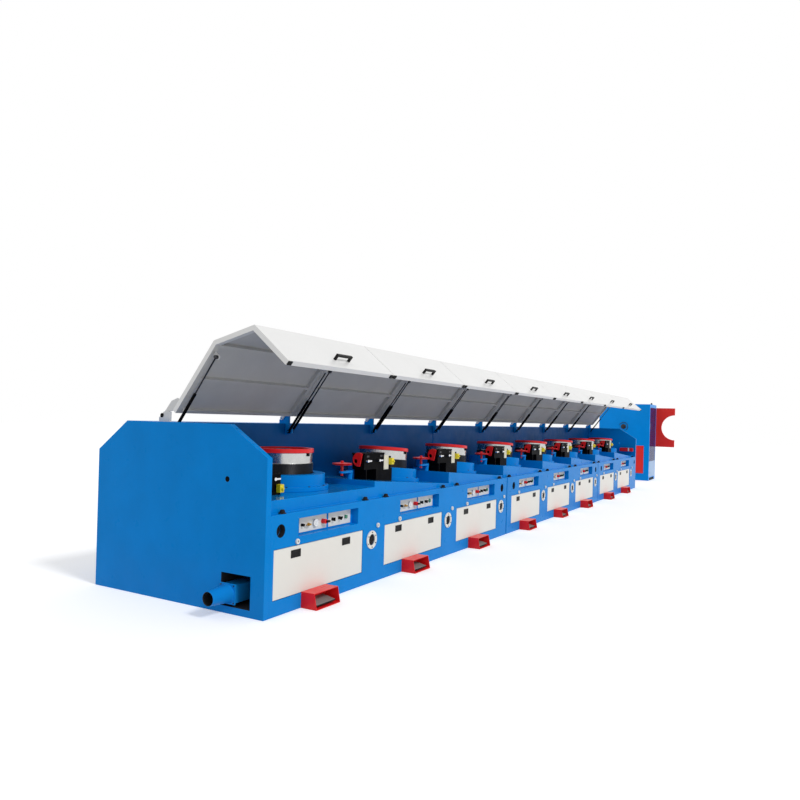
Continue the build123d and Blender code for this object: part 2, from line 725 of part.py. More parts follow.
save("die_side_plates", die_side_plates.part)

with BuildPart() as die_clamps:
    for k, x in enumerate(stations):
        for offset in CLAMP_OFFSETS:
            clamp_x = x + DIE_BOX_OFFSET + offset
            clamp_z = wire_height(k) + (CLAMP_ABOVE_WIRE if k else -FIRST_CLAMP_BELOW_WIRE)
            with BuildSketch(front_plane(DIE_FRONT_Y)):
                with Locations((clamp_x, clamp_z)):
                    RegularPolygon(CLAMP_BODY_RADIUS, CLAMP_BODY_SIDES)
            extrude(amount=CLAMP_STAND)
            with BuildSketch(front_plane(DIE_FRONT_Y - CLAMP_LEVER_STAND)):
                with Locations((clamp_x + CLAMP_LEVER_LEAD, clamp_z)):
                    Rectangle(CLAMP_LEVER_LENGTH, CLAMP_LEVER_SIZE)
            extrude(amount=CLAMP_LEVER_SIZE)
save("die_clamps", die_clamps.part)

# Wire guides: the guard disc on the entry end of each die box, and the sheaves on their posts
with BuildPart() as wire_guides:
    for k, x in enumerate(stations):
        with BuildSketch(across_plane(x + DIE_BOX_OFFSET)):
            with Locations((GUARD_DISC_Y, wire_height(k) + (GUARD_DISC_ABOVE_WIRE if k else 0.0))):
                Circle(GUARD_DISC_RADIUS)
            with Locations((WIRE_Y, wire_height(k))):
                Circle(WIRE_HOLE_DIAMETER / 2, mode=Mode.SUBTRACT)
        extrude(amount=-GUARD_DISC_THICKNESS)
    for x in stations[1:]:
        sheave_x = x + SHEAVE_OFFSET
        with BuildSketch(Plane(origin=(sheave_x, WIRE_Y, SHEAVE_RIM_Z), x_dir=(1, 0, 0), z_dir=(0, -1, 0))):
            with BuildLine():
                half = SHEAVE_THICKNESS / 2
                Polyline(
                    (0, SHEAVE_POST_BOTTOM - SHEAVE_RIM_Z),
                    (SHEAVE_POST_RADIUS, SHEAVE_POST_BOTTOM - SHEAVE_RIM_Z),
                    (SHEAVE_POST_RADIUS, -half),
                    (SHEAVE_RADIUS, -SHEAVE_RIM_THICKNESS),
                    (SHEAVE_RADIUS, -SHEAVE_RIM_THICKNESS / 2),
                    (SHEAVE_GROOVE_RADIUS, 0),
                    (SHEAVE_RADIUS, SHEAVE_RIM_THICKNESS / 2),
                    (SHEAVE_RADIUS, SHEAVE_RIM_THICKNESS),
                    (SHEAVE_POST_RADIUS, half),
                    (SHEAVE_POST_RADIUS, half + SHEAVE_POST_RADIUS),
                    (0, half + SHEAVE_POST_RADIUS),
                    close=True,
                )
            make_face()
        revolve(axis=Axis((sheave_x, WIRE_Y, SHEAVE_RIM_Z), (0, 0, 1)))
save("wire_guides", wire_guides.part)

# Swing arms of the sheaves, which stand on the deck of the next block
with BuildPart() as sheave_arms:
    for k, x in enumerate(stations[1:], start=1):
        sheave_x = x + SHEAVE_OFFSET
        boss_x = x + ARM_BOSS_OFFSET
        with BuildSketch(Plane.XY.offset(ARM_BOTTOM)):
            with Locations(((sheave_x + boss_x) / 2, WIRE_Y)):
                SlotCenterToCenter(boss_x - sheave_x, ARM_WIDTH + 2 * SHEAVE_POST_RADIUS)
            with Locations((sheave_x, WIRE_Y)):
                Circle(SHEAVE_POST_RADIUS + ARM_SEAT, mode=Mode.SUBTRACT)
        extrude(amount=ARM_THICKNESS)
        with BuildSketch(deck_plane(k, boss_x, WIRE_Y)):
            Circle(ARM_BOSS_RADIUS)
        extrude(amount=ARM_BOTTOM + ARM_THICKNESS - deck_height(k, boss_x))
save("sheave_arms", sheave_arms.part)


# Pedal guards and treadles
def make_pedal_guards():
    with BuildPart() as guards:
        for x in stations:
            left = x + PEDAL_OFFSET
            with BuildSketch(across_plane(left)):
                with BuildLine():
                    Polyline(
                        (PEDAL_BACK_Y, 0),
                        (PEDAL_BACK_Y, PEDAL_HEIGHT),
                        (PEDAL_TOP_FRONT_Y, PEDAL_HEIGHT),
                        (PEDAL_BOTTOM_FRONT_Y, 0),
                        close=True,
                    )
                make_face()
            extrude(amount=PEDAL_WIDTH)
            inner_height = PEDAL_HEIGHT - 2 * PEDAL_SHEET
            with BuildSketch(front_plane(PEDAL_BACK_Y - PEDAL_SHEET)):
                with Locations((left + PEDAL_WIDTH / 2, PEDAL_HEIGHT / 2)):
                    Rectangle(PEDAL_WIDTH - 2 * PEDAL_SHEET, inner_height)
            extrude(amount=-PEDAL_BOTTOM_FRONT_Y, mode=Mode.SUBTRACT)
    return guards.part


save("pedal_guards", make_pedal_guards())

with BuildPart() as foot_pedals:
    for x in stations:
        left = x + PEDAL_OFFSET + TREADLE_INSET
        width = PEDAL_WIDTH - 2 * TREADLE_INSET
        rise = TREADLE_THICKNESS * 2
        back = PEDAL_BACK_Y - PEDAL_SHEET
        front = PEDAL_TOP_FRONT_Y
        lift = (back - front) * tan(radians(TREADLE_SLOPE))
        with BuildSketch(across_plane(left)):
            with BuildLine():
                Polyline(
                    (back, PEDAL_SHEET),
                    (back, PEDAL_SHEET + rise + lift),
                    (front, PEDAL_SHEET + rise),
                    (front, PEDAL_SHEET + rise - TREADLE_THICKNESS),
                    (back - TREADLE_INSET, PEDAL_SHEET + rise),
                    (back - TREADLE_INSET, PEDAL_SHEET),
                    close=True,
                )
            make_face()
        extrude(amount=width)
save("foot_pedals", foot_pedals.part)

# Hoods, built open
hood_open = [opened(point) for point in HOOD_PROFILE]


def inset_points(depths):
    """The closed profile moved inwards by one depth for each of its three panels."""
    lines = []
    for a, b, depth in zip(HOOD_PROFILE, HOOD_PROFILE[1:], depths):
        length = hypot(b[0] - a[0], b[1] - a[1])
        normal = (-(b[1] - a[1]) / length, (b[0] - a[0]) / length)
        lines.append(
            (
                (a[0] + normal[0] * depth, a[1] + normal[1] * depth),
                (b[0] + normal[0] * depth, b[1] + normal[1] * depth),
            )
        )
    points = [lines[0][0]]
    for first, second in zip(lines, lines[1:]):
        points.append(crossing(first, second))
    points.append(lines[-1][1])
    return points


def crossing(first, second):
    """Where two lines through pairs of points meet."""
    (x1, y1), (x2, y2) = first
    (x3, y3), (x4, y4) = second
    denominator = (x1 - x2) * (y3 - y4) - (y1 - y2) * (x3 - x4)
    a = x1 * y2 - y1 * x2
    b = x3 * y4 - y3 * x4
    px = (a * (x3 - x4) - (x1 - x2) * b) / denominator
    py = (a * (y3 - y4) - (y1 - y2) * b) / denominator
    return (px, py)


sheet_inner = inset_points((HOOD_SHEET, HOOD_SHEET, HOOD_SHEET))
rib_inner = inset_points((HOOD_RIB_DEPTH, HOOD_RIB_DEPTH, HOOD_LIP_RIB_DEPTH))


def band(outer, inner):
    """Draw the closed outline between two runs of points, opened to the rest pose."""
    points = [opened(p) for p in outer] + [opened(p) for p in reversed(inner)]
    Polyline(*points, close=True)


# The strut runs from its foot on the rear wall to a plate under the top panel
strut_direction = (-cos(radians(STRUT_OPEN_ANGLE)), sin(radians(STRUT_OPEN_ANGLE)))
strut_top = (
    STRUT_FOOT_Y + strut_direction[0] * STRUT_OPEN_LENGTH,
    STRUT_FOOT_Z + strut_direction[1] * STRUT_OPEN_LENGTH,
)
strut_top_closed = opened(strut_top, -HOOD_OPEN_ANGLE)


def top_panel_z(y):
    """Height of the closed top panel's outer face."""
    rear, bend = HOOD_PROFILE[0], HOOD_PROFILE[1]
    return rear[1] + (bend[1] - rear[1]) * (rear[0] - y) / (rear[0] - bend[0])


def strut_plate_corners():
    """The closed corners of the plate that joins the top panel to the strut's top."""
    front = strut_top_closed[0] - STRUT_PLATE_RADIUS
    rear = strut_top_closed[0] + STRUT_PLATE_RADIUS
    inside = HOOD_SHEET / 2
    return (
        (front, strut_top_closed[1]),
        (rear, strut_top_closed[1]),
        (rear, top_panel_z(rear) - inside),
        (front, top_panel_z(front) - inside),
    )


def strut_places(span):
    """The two struts of a hood: their X and the side that their plates stand on."""
    return ((span[0] + STRUT_INSET, 1), (span[1] - STRUT_INSET, -1))


def gusset_face(strut_x, side):
    """The face of a gusset that the strut's foot and the hinge arm run beside."""
    return strut_x - side * (STRUT_EYE_WIDTH / 2 + PIVOT_CLEARANCE)


def hinge_arm_corners():
    """The closed corners of a hinge arm, from the top panel's outer face to the pivot."""
    inside = HOOD_SHEET / 2
    rear = HOOD_PROFILE[0][0]
    return (
        (HOOD_PIVOT_Y, HOOD_PIVOT_Z + HINGE_KNUCKLE_RADIUS),
        HINGE_ARM_STEP,
        HINGE_ARM_FRONT,
        (HINGE_ARM_FRONT[0], top_panel_z(HINGE_ARM_FRONT[0]) - inside),
        (rear, top_panel_z(rear) - inside),
        HINGE_ARM_NECK,
        (HOOD_PIVOT_Y, HOOD_PIVOT_Z - HINGE_KNUCKLE_RADIUS),
    )


def make_hood(span):
    low, high = span
    with BuildPart() as hood:
        with BuildSketch(across_plane(low)):
            with BuildLine():
                band(HOOD_PROFILE, sheet_inner)
            make_face()
        extrude(amount=high - low)
        for rib_x in (low, high - HOOD_END_RIB_WIDTH):
            with BuildSketch(across_plane(rib_x)):
                with BuildLine():
                    band(HOOD_PROFILE, rib_inner)
                make_face()
            extrude(amount=HOOD_END_RIB_WIDTH)
        # Ribs along the rear edge, the middle of the top panel, the two bends and the lip
        rear_a, bend_a, peak_a, lip_a = HOOD_PROFILE
        rear_b, bend_b, peak_b, lip_b = rib_inner
        share = HOOD_LONG_RIB_WIDTH / (rear_a[0] - bend_a[0])
        lip_share = HOOD_LONG_RIB_WIDTH / hypot(peak_a[0] - lip_a[0], peak_a[1] - lip_a[1])

        def between(a, b, t):
            return (a[0] + (b[0] - a[0]) * t, a[1] + (b[1] - a[1]) * t)

        rib_runs = (
            (rear_a, between(rear_a, bend_a, share), between(rear_b, bend_b, share), rear_b),
            (
                between(rear_a, bend_a, 0.5 - share / 2),
                between(rear_a, bend_a, 0.5 + share / 2),
                between(rear_b, bend_b, 0.5 + share / 2),
                between(rear_b, bend_b, 0.5 - share / 2),
            ),
            (between(bend_a, rear_a, share), bend_a, bend_b, between(bend_b, rear_b, share)),
            (peak_a, between(peak_a, lip_a, lip_share), between(peak_b, lip_b, lip_share), peak_b),
            (between(lip_a, peak_a, lip_share), lip_a, lip_b, between(lip_b, peak_b, lip_share)),
        )
        for corners in rib_runs:
            with BuildSketch(across_plane(low)):
                with BuildLine():
                    Polyline(*[opened(p) for p in corners], close=True)
                make_face()
            extrude(amount=high - low)
        # Hinge arms with their knuckles, beside the gussets
        for strut_x, side in strut_places(span):
            face = gusset_face(strut_x, side) + side * PIVOT_CLEARANCE
            with BuildSketch(across_plane(face)):
                with BuildLine():
                    Polyline(*[opened(p) for p in hinge_arm_corners()], close=True)
                make_face()
                with Locations((HOOD_PIVOT_Y, HOOD_PIVOT_Z)):
                    Circle(HINGE_KNUCKLE_RADIUS)
                    Circle(HINGE_PIN_RADIUS + PIVOT_CLEARANCE, mode=Mode.SUBTRACT)
            extrude(amount=side * HINGE_ARM_THICKNESS)
        # Plates for the strut tops, which stand beside the rods' eyes
        for strut_x, side in strut_places(span):
            near = strut_x + side * (STRUT_EYE_WIDTH / 2 + PIVOT_CLEARANCE)
            with BuildSketch(across_plane(near)):
                with BuildLine():
                    Polyline(*[opened(p) for p in strut_plate_corners()], close=True)
                make_face()
                with Locations(strut_top):
                    Circle(STRUT_PLATE_RADIUS)
            extrude(amount=side * STRUT_PLATE_THICKNESS)
        # Handle on the lip panel
        middle = (low + high) / 2 + HANDLE_SHIFT
        up = HANDLE_UP_LIP / hypot(peak_a[0] - lip_a[0], peak_a[1] - lip_a[1])
        foot = opened(between(lip_a, peak_a, up))
        outward = degrees(atan2(hood_open[3][1] - hood_open[2][1], hood_open[3][0] - hood_open[2][0]))
        normal = (-sin(radians(outward)), cos(radians(outward)))
        if normal[0] > 0:
            normal = (-normal[0], -normal[1])
        grip = Plane(
            origin=(middle, foot[0], foot[1]),
            x_dir=(1, 0, 0),
            z_dir=(0, cos(radians(outward)), sin(radians(outward))),
        )
        reach = 1 if grip.y_dir.Y * normal[0] + grip.y_dir.Z * normal[1] > 0 else -1
        half = HANDLE_LENGTH / 2
        with BuildSketch(grip.offset(-HANDLE_BAR / 2)):
            with Locations((0, reach * HANDLE_STAND / 2)):
                Rectangle(HANDLE_LENGTH, HANDLE_STAND)
            with Locations((0, reach * (HANDLE_STAND - HANDLE_BAR) / 2)):
                Rectangle(HANDLE_LENGTH - 2 * HANDLE_BAR, HANDLE_STAND - HANDLE_BAR, mode=Mode.SUBTRACT)
        extrude(amount=HANDLE_BAR)
    return hood.part


for k, span in enumerate(hood_spans):
    save("hood_" + str(k + 1), make_hood(span))


# Struts: a tube that turns on its foot, and a rod that slides in it
def strut_plane(x):
    """A plane across the machine at X, centred on the strut's foot, with its first axis up the strut."""
    return Plane(
        origin=(x, STRUT_FOOT_Y, STRUT_FOOT_Z),
        x_dir=(0, strut_direction[0], strut_direction[1]),
        z_dir=(1, 0, 0),
    )


def make_strut_tubes(span):
    with BuildPart() as tubes:
        for strut_x, _ in strut_places(span):
            flat = strut_plane(strut_x)
            with BuildSketch(flat.offset(-STRUT_EYE_WIDTH / 2)):
                Circle(STRUT_EYE_RADIUS)
                with Locations((STRUT_EYE_RADIUS, 0)):
                    Rectangle(2 * STRUT_EYE_RADIUS, STRUT_TUBE_RADIUS)
                Circle(HINGE_PIN_RADIUS + PIVOT_CLEARANCE, mode=Mode.SUBTRACT)
            extrude(amount=STRUT_EYE_WIDTH)
            along = Plane(
                origin=flat.origin + flat.x_dir * (2 * STRUT_EYE_RADIUS - STRUT_NECK_OVERLAP),
                x_dir=(1, 0, 0),
                z_dir=flat.x_dir,
            )
            with BuildSketch(along):
                Circle(STRUT_TUBE_RADIUS)
            extrude(amount=STRUT_TUBE_LENGTH - 2 * STRUT_EYE_RADIUS)
            with BuildSketch(along.offset(STRUT_EYE_RADIUS)):
                Circle(STRUT_ROD_RADIUS + PIVOT_CLEARANCE)
            extrude(amount=STRUT_TUBE_LENGTH, mode=Mode.SUBTRACT)
    return tubes.part


def make_strut_rods(span):
    with BuildPart() as rods:
        for strut_x, _ in strut_places(span):
            flat = strut_plane(strut_x)
            top = flat.origin + flat.x_dir * STRUT_OPEN_LENGTH
            eye = Plane(origin=top, x_dir=flat.x_dir, z_dir=(1, 0, 0))
            with BuildSketch(eye.offset(-STRUT_EYE_WIDTH / 2)):
                Circle(STRUT_EYE_RADIUS)
            extrude(amount=STRUT_EYE_WIDTH)
            start = flat.origin + flat.x_dir * (STRUT_TUBE_LENGTH - STRUT_ROD_OVERLAP)
            with BuildSketch(Plane(origin=start, x_dir=(1, 0, 0), z_dir=flat.x_dir)):
                Circle(STRUT_ROD_RADIUS)
            extrude(amount=STRUT_OPEN_LENGTH - STRUT_TUBE_LENGTH + STRUT_ROD_OVERLAP)
    return rods.part


for k, span in enumerate(hood_spans):
    save("strut_tubes_" + str(k + 1), make_strut_tubes(span))
    save("strut_rods_" + str(k + 1), make_strut_rods(span))

# Gussets between the hoods: each stands on the rear housing and carries the hinge pins and the
# foot pins of the struts on its two faces, with a half gusset at each end plate
def gusset_limits(k):
    """The X limits of the gusset before hood k, or behind the last hood."""
    low = INNER_START if k == 0 else gusset_face(strut_places(hood_spans[k - 1])[1][0], -1)
    high = INNER_END if k == len(hood_spans) else gusset_face(strut_places(hood_spans[k])[0][0], 1)
    return low, high


foot_low, nose_low, nose_high, throat = GUSSET_FOOT_Z
with BuildPart() as hood_brackets:
    for k in range(len(hood_spans) + 1):
        low, high = gusset_limits(k)
        with BuildSketch(across_plane(low)):
            with BuildLine():
                Polyline(
                    (REAR_WALL_Y, foot_low),
                    (GUSSET_NOSE, nose_low),
                    (GUSSET_NOSE, nose_high),
                    (GUSSET_FRONT, throat),
                    (GUSSET_FRONT, GUSSET_TOP),
                    (HOOD_PIVOT_Y - HINGE_KNUCKLE_RADIUS, GUSSET_TOP),
                    (GUSSET_REAR, HOOD_PIVOT_Z - HINGE_KNUCKLE_RADIUS),
                    (GUSSET_REAR, WALL_TOP),
                    (REAR_WALL_Y, WALL_TOP),
                    close=True,
                )
            make_face()
        extrude(amount=high - low)
    for span in hood_spans:
        for strut_x, side in strut_places(span):
            pins = (
                (HOOD_PIVOT_Y, HOOD_PIVOT_Z, HINGE_ARM_THICKNESS),
                (STRUT_FOOT_Y, STRUT_FOOT_Z, STRUT_EYE_WIDTH),
            )
            for pin_y, pin_z, width in pins:
                with BuildSketch(across_plane(gusset_face(strut_x, side))):
                    with Locations((pin_y, pin_z)):
                        Circle(HINGE_PIN_RADIUS)
                extrude(amount=side * (width + 2 * PIVOT_CLEARANCE))
save("hood_brackets", hood_brackets.part)

# Bumpers on the ledge, which the closed hoods stop just above
bumper_height = rib_inner[-1][1] - BUMPER_CLEARANCE - LEDGE_HEIGHT
bumper_y = DECK_FRONT_Y / 2
with BuildPart() as bumpers:
    for x in [x for low, high in hood_spans for x in (low + BUMPER_LEAD, high - BUMPER_TAIL)]:
        with BuildSketch(front_plane(bumper_y)):
            with BuildLine():
                Polyline(
                    (x, LEDGE_HEIGHT),
                    (x + BUMPER_BASE_RADIUS, LEDGE_HEIGHT),
                    (x + BUMPER_BASE_RADIUS, LEDGE_HEIGHT + BUMPER_BASE_HEIGHT),
                    (x + BUMPER_NECK_RADIUS, LEDGE_HEIGHT + 2 * BUMPER_BASE_HEIGHT),
                    (x + BUMPER_NECK_RADIUS, LEDGE_HEIGHT + bumper_height - 2 * BUMPER_BASE_HEIGHT),
                    (x + BUMPER_CROWN_RADIUS, LEDGE_HEIGHT + bumper_height),
                    (x, LEDGE_HEIGHT + bumper_height),
                    close=True,
                )
            make_face()
        revolve(axis=Axis((x, bumper_y, 0), (0, 0, 1)))
save("bumpers", bumpers.part)

# Exit guide: a square tube on the exit plate
with BuildPart() as exit_guide:
    centre = (EXIT_GUIDE_Y + EXIT_GUIDE_LENGTH / 2, EXIT_GUIDE_HEIGHT + EXIT_GUIDE_SIZE / 2)
    with BuildSketch(across_plane(INNER_END)):
        with Locations(centre):
            Rectangle(EXIT_GUIDE_LENGTH, EXIT_GUIDE_SIZE)
    extrude(amount=-EXIT_GUIDE_SIZE)
save("exit_guide", exit_guide.part)

# Take-up stand beyond the exit end
takeup_x = MACHINE_LENGTH + TAKEUP_GAP
takeup_end = takeup_x + TAKEUP_LENGTH
takeup_centre = ((takeup_x + takeup_end) / 2, (TAKEUP_FRONT_Y + TAKEUP_REAR_Y) / 2)
inner_length = TAKEUP_LENGTH - 2 * TAKEUP_WALL
with BuildPart() as takeup_cabinet:
    with BuildSketch(Plane.XY):
        with Locations(takeup_centre):
            Rectangle(TAKEUP_LENGTH, TAKEUP_REAR_Y - TAKEUP_FRONT_Y)
    extrude(amount=TAKEUP_HEIGHT)
    window_height = TAKEUP_WINDOW_TOP - TAKEUP_WINDOW_BOTTOM
    with BuildSketch(front_plane(TAKEUP_FRONT_Y)):
        with Locations((takeup_centre[0], (TAKEUP_WINDOW_TOP + TAKEUP_WINDOW_BOTTOM) / 2)):
            Rectangle(inner_length, window_height)
    extrude(amount=-(TAKEUP_REAR_Y - TAKEUP_FRONT_Y) / 2, mode=Mode.SUBTRACT)
save("takeup_cabinet", takeup_cabinet.part)

with BuildPart() as takeup_window:
    with BuildSketch(front_plane(TAKEUP_FRONT_Y + TAKEUP_WINDOW_THICKNESS)):
        with Locations((takeup_centre[0], (TAKEUP_WINDOW_TOP + TAKEUP_WINDOW_BOTTOM) / 2)):
            Rectangle(inner_length, window_height)
    extrude(amount=TAKEUP_WINDOW_THICKNESS)
save("takeup_window", takeup_window.part)

with BuildPart() as takeup_guard:
    with BuildSketch(across_plane(takeup_end)):
        with Locations(((GUARD_FRONT_Y + GUARD_BACK_Y) / 2, (GUARD_BOTTOM + GUARD_TOP) / 2)):
            Rectangle(GUARD_BACK_Y - GUARD_FRONT_Y, GUARD_TOP - GUARD_BOTTOM)
        with Locations((GUARD_FRONT_Y, (GUARD_BOTTOM + GUARD_TOP) / 2)):
            Circle(GUARD_NOTCH_RADIUS, mode=Mode.SUBTRACT)
    extrude(amount=GUARD_THICKNESS)
    door_y, door_span = sum(TAKEUP_DOOR_Y) / 2, TAKEUP_DOOR_Y[1] - TAKEUP_DOOR_Y[0]
    with BuildSketch(across_plane(takeup_x)):
        with Locations((door_y, sum(TAKEUP_DOOR_Z) / 2)):
            Rectangle(door_span, TAKEUP_DOOR_Z[1] - TAKEUP_DOOR_Z[0])
    extrude(amount=-TAKEUP_DOOR_THICKNESS)
save("takeup_guard", takeup_guard.part)

# The joint values that the record repeats
strut_closed_reach = hypot(strut_top_closed[0] - STRUT_FOOT_Y, strut_top_closed[1] - STRUT_FOOT_Z)
strut_closed_angle = degrees(
    atan2(strut_top_closed[1] - STRUT_FOOT_Z, STRUT_FOOT_Y - strut_top_closed[0])
)
print("hood opening angle", HOOD_OPEN_ANGLE)
print("strut turn", round(STRUT_OPEN_ANGLE - strut_closed_angle, 4))
print("strut stroke", round(STRUT_OPEN_LENGTH - strut_closed_reach, 3))
print("stations", [round(x, 1) for x in stations])
print("hoods", [(round(a, 1), round(b, 1)) for a, b in hood_spans])
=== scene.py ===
import json
from math import cos, hypot, pi, radians, sin

import bmesh
import bpy
from bpy.props import FloatProperty, PointerProperty
from bpy.types import Operator, Panel, PropertyGroup
from mathutils import Matrix, Vector

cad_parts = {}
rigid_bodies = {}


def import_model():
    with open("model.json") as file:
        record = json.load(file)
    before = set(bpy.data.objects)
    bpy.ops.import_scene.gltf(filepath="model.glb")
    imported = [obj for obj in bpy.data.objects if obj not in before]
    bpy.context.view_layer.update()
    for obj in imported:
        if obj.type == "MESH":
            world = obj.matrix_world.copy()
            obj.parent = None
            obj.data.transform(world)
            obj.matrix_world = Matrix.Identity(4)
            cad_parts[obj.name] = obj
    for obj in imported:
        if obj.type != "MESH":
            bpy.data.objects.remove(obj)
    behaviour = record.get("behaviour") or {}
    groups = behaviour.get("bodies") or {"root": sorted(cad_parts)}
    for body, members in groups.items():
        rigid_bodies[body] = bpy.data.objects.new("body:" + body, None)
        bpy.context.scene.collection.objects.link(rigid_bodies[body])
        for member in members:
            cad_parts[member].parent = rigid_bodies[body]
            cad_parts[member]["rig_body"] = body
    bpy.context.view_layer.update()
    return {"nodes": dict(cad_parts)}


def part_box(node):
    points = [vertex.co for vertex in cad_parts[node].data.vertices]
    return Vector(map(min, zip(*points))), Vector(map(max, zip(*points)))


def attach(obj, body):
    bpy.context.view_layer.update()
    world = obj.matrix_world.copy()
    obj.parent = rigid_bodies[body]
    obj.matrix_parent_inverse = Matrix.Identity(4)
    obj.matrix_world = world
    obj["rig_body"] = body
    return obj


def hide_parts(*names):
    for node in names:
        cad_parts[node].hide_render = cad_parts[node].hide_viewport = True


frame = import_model()

bl_info = {
    "name": "Wire drawing machine",
    "version": (1, 0, 0),
    "blender": (4, 5, 0),
    "location": "3D View > Sidebar > Wire Drawing",
    "description": "Paints and dresses a straight-line wire drawing machine around its packed frame",
    "category": "Object",
}

# Places on the machine, in metres. An offset counts from the entry side of its station.
STATIONS = (0.0, 1.73, 3.46, 5.37, 7.10, 8.83, 10.74, 12.47)
FRAMES = (1, 2, 3)
BLOCKS = range(1, len(STATIONS) + 1)
DECK_TILT = radians(4.5)
FACING = 0.9  # least cosine between a face's normal and the direction that it looks in
BLOCK_OFFSETS = (1.035, 1.168, 1.168, 1.1, 1.168, 1.168, 1.1, 1.168)
BLOCK_CENTRES = tuple(station + offset for station, offset in zip(STATIONS, BLOCK_OFFSETS))
HOOD_PIVOT = (1.282, 1.607)
HOOD_OPEN = radians(48.5)
HOOD_CLOSED_PROFILE = ((1.17, 1.5532), (0.4066, 1.5978), (0.0216, 1.3368), (0.0053, 0.864))
WIRE_HEIGHTS = (1.098,) + (1.172,) * 7
WIRE_Y = 0.423
WIRE_HOLE_REACH = 0.0235
BLOCK_CENTRE_Y = 0.7
FIRST_DECK = 0.935
DECK_FOOT = 0.858
DECK_LENGTH = 1.73
REAR_WALL_Y = 1.235
GUARD_DISC_SPAN = (0.169, 0.187)
GUARD_DISC_LIFT = 0.017
GUARD_CHORD_Y = 0.355
GUARD_CHORD_LEAN = radians(12)
PLATE_FACE_Y = 0.071
KNOB_HEIGHT = 0.6915
GAUGE_OFFSET = 0.735
NEEDLE_FACE = 0.0187
POCKET_BACK_Y = (0.058, 0.0605)
RECESS_MIDDLE = 0.69
RECESS_REACH = 0.0555
RECESS_OFFSETS = (0.4, 1.36)
VENT_OFFSET = 1.58
VENT_HEIGHT = 0.43
VENT_REACH = 0.0565
VENT_BOLT_RADIUS = 0.073
DUCT_CENTRE = (0.378, 0.166)
DUCT_BORE_REACH = 0.0725
DUCT_SCREW_REACH = 0.07
COVER_OFFSETS = (0.152, 1.387)
COVER_MARGIN = 0.04
COIL_FOOT = 0.1515
FLANGE_BOLT_RADIUS = 0.4315
FLANGE_TOP = 0.0435
CLIP_PLACE = (0.293, 0.0, 0.332)
CLIP_ANGLE = radians(-85)
TAKEUP_X = 17.418
TAKEUP_HUB = (0.914, 1.61)
TAKEUP_TRACK_RADIUS = 0.13
PANE_SPLIT = 0.58
CONTACT_GAP = 0.0002
STEEL_EDGE = 0.0025

# Directions and outlines of small turned parts, as (radius, height) in metres
TO_FRONT = (radians(90), 0.0, 0.0)
TO_ENTRY = (0.0, radians(90), 0.0)
HUB_CAP = ((0, 0), (0.019, 0), (0.019, 0.005), (0.016, 0.008), (0, 0.008))
GAUGE_RIM = ((0.0285, 0.014), (0.0325, 0.014), (0.0325, 0.021), (0.0285, 0.021), (0.0285, 0.014))
VALVE_NUT = ((0, 0), (0.014, 0), (0.014, 0.01), (0.009, 0.012), (0.009, 0.032), (0, 0.032))
VALVE_TAIL = (
    (0, 0), (0.008, 0), (0.008, 0.02), (0.011, 0.022), (0.011, 0.036), (0.006, 0.038), (0.005, 0.066),
    (0, 0.066),
)
EARTH_POST = ((0.011, 0.0), (0.022, 0.0), (0.024, 0.006), (0.022, 0.016), (0.011, 0.016), (0.011, 0.0))
SWITCH_KNOB = ((0, 0), (0.016, 0), (0.016, 0.004), (0.011, 0.006), (0.011, 0.018), (0, 0.018))
STAND_HUB = ((0, 0), (0.075, 0), (0.075, 0.012), (0.06, 0.016), (0.06, 0.04), (0.03, 0.05), (0, 0.05))
STAND_LAMP = ((0, 0), (0.035, 0), (0.035, 0.012), (0.025, 0.014), (0.025, 0.045), (0.015, 0.055), (0, 0.055))


# Shader building

def new_group(name, tree_kind, inputs, outputs):
    """An empty node group with its named sockets, and its start and end nodes."""
    group = bpy.data.node_groups.new(name, tree_kind)
    for label, kind, default in inputs:
        socket = group.interface.new_socket(label, in_out="INPUT", socket_type="NodeSocket" + kind)
        if default is not None:
            socket.default_value = default
    for label, kind in outputs:
        group.interface.new_socket(label, in_out="OUTPUT", socket_type="NodeSocket" + kind)
    return group, add(group, "NodeGroupInput"), add(group, "NodeGroupOutput")


def add(tree, kind, **values):
    """A node with its properties set, and its sockets where the key is a socket's name."""
    node = tree.nodes.new(kind)
    for key, value in values.items():
        if key in node.bl_rna.properties:
            setattr(node, key, value)
        else:
            node.inputs[key.replace("_", " ")].default_value = value
    return node


def join(tree, *links):
    """Link sockets, each link given as node, output, node, input."""
    for source, output, target, socket in links:
        tree.links.new(source.outputs[output], target.inputs[socket])


def mottle_group():
    """Slow and fine cloudiness of a painted or cast surface, as a value between two limits."""
    group, start, end = new_group(
        "Mottle", "ShaderNodeTree",
        [("Scale", "Float", 3.0), ("Low", "Float", 0.0), ("High", "Float", 1.0)],
        [("Value", "Float")],
    )
    place = add(group, "ShaderNodeTexCoord")
    noise = add(group, "ShaderNodeTexNoise", Detail=5.0, Roughness=0.62)
    spread = add(group, "ShaderNodeMapRange", From_Min=0.3, From_Max=0.7)
    join(
        group,
        (place, "Object", noise, "Vector"),
        (start, "Scale", noise, "Scale"),
        (noise, "Fac", spread, "Value"),
        (start, "Low", spread, "To Min"),
        (start, "High", spread, "To Max"),
        (spread, "Result", end, "Value"),
    )
    return group


def peel_group():
    """The faint orange peel of sprayed paint, or the grain of a moulding, as a normal."""
    group, start, end = new_group(
        "Peel", "ShaderNodeTree",
        [("Scale", "Float", 400.0), ("Strength", "Float", 0.1)],
        [("Normal", "Vector")],
    )
    place = add(group, "ShaderNodeTexCoord")
    noise = add(group, "ShaderNodeTexNoise", Detail=2.0)
    bump = add(group, "ShaderNodeBump", Distance=0.001)
    join(
        group,
        (place, "Object", noise, "Vector"),
        (start, "Scale", noise, "Scale"),
        (noise, "Fac", bump, "Height"),
        (start, "Strength", bump, "Strength"),
        (bump, "Normal", end, "Normal"),
    )
    return group


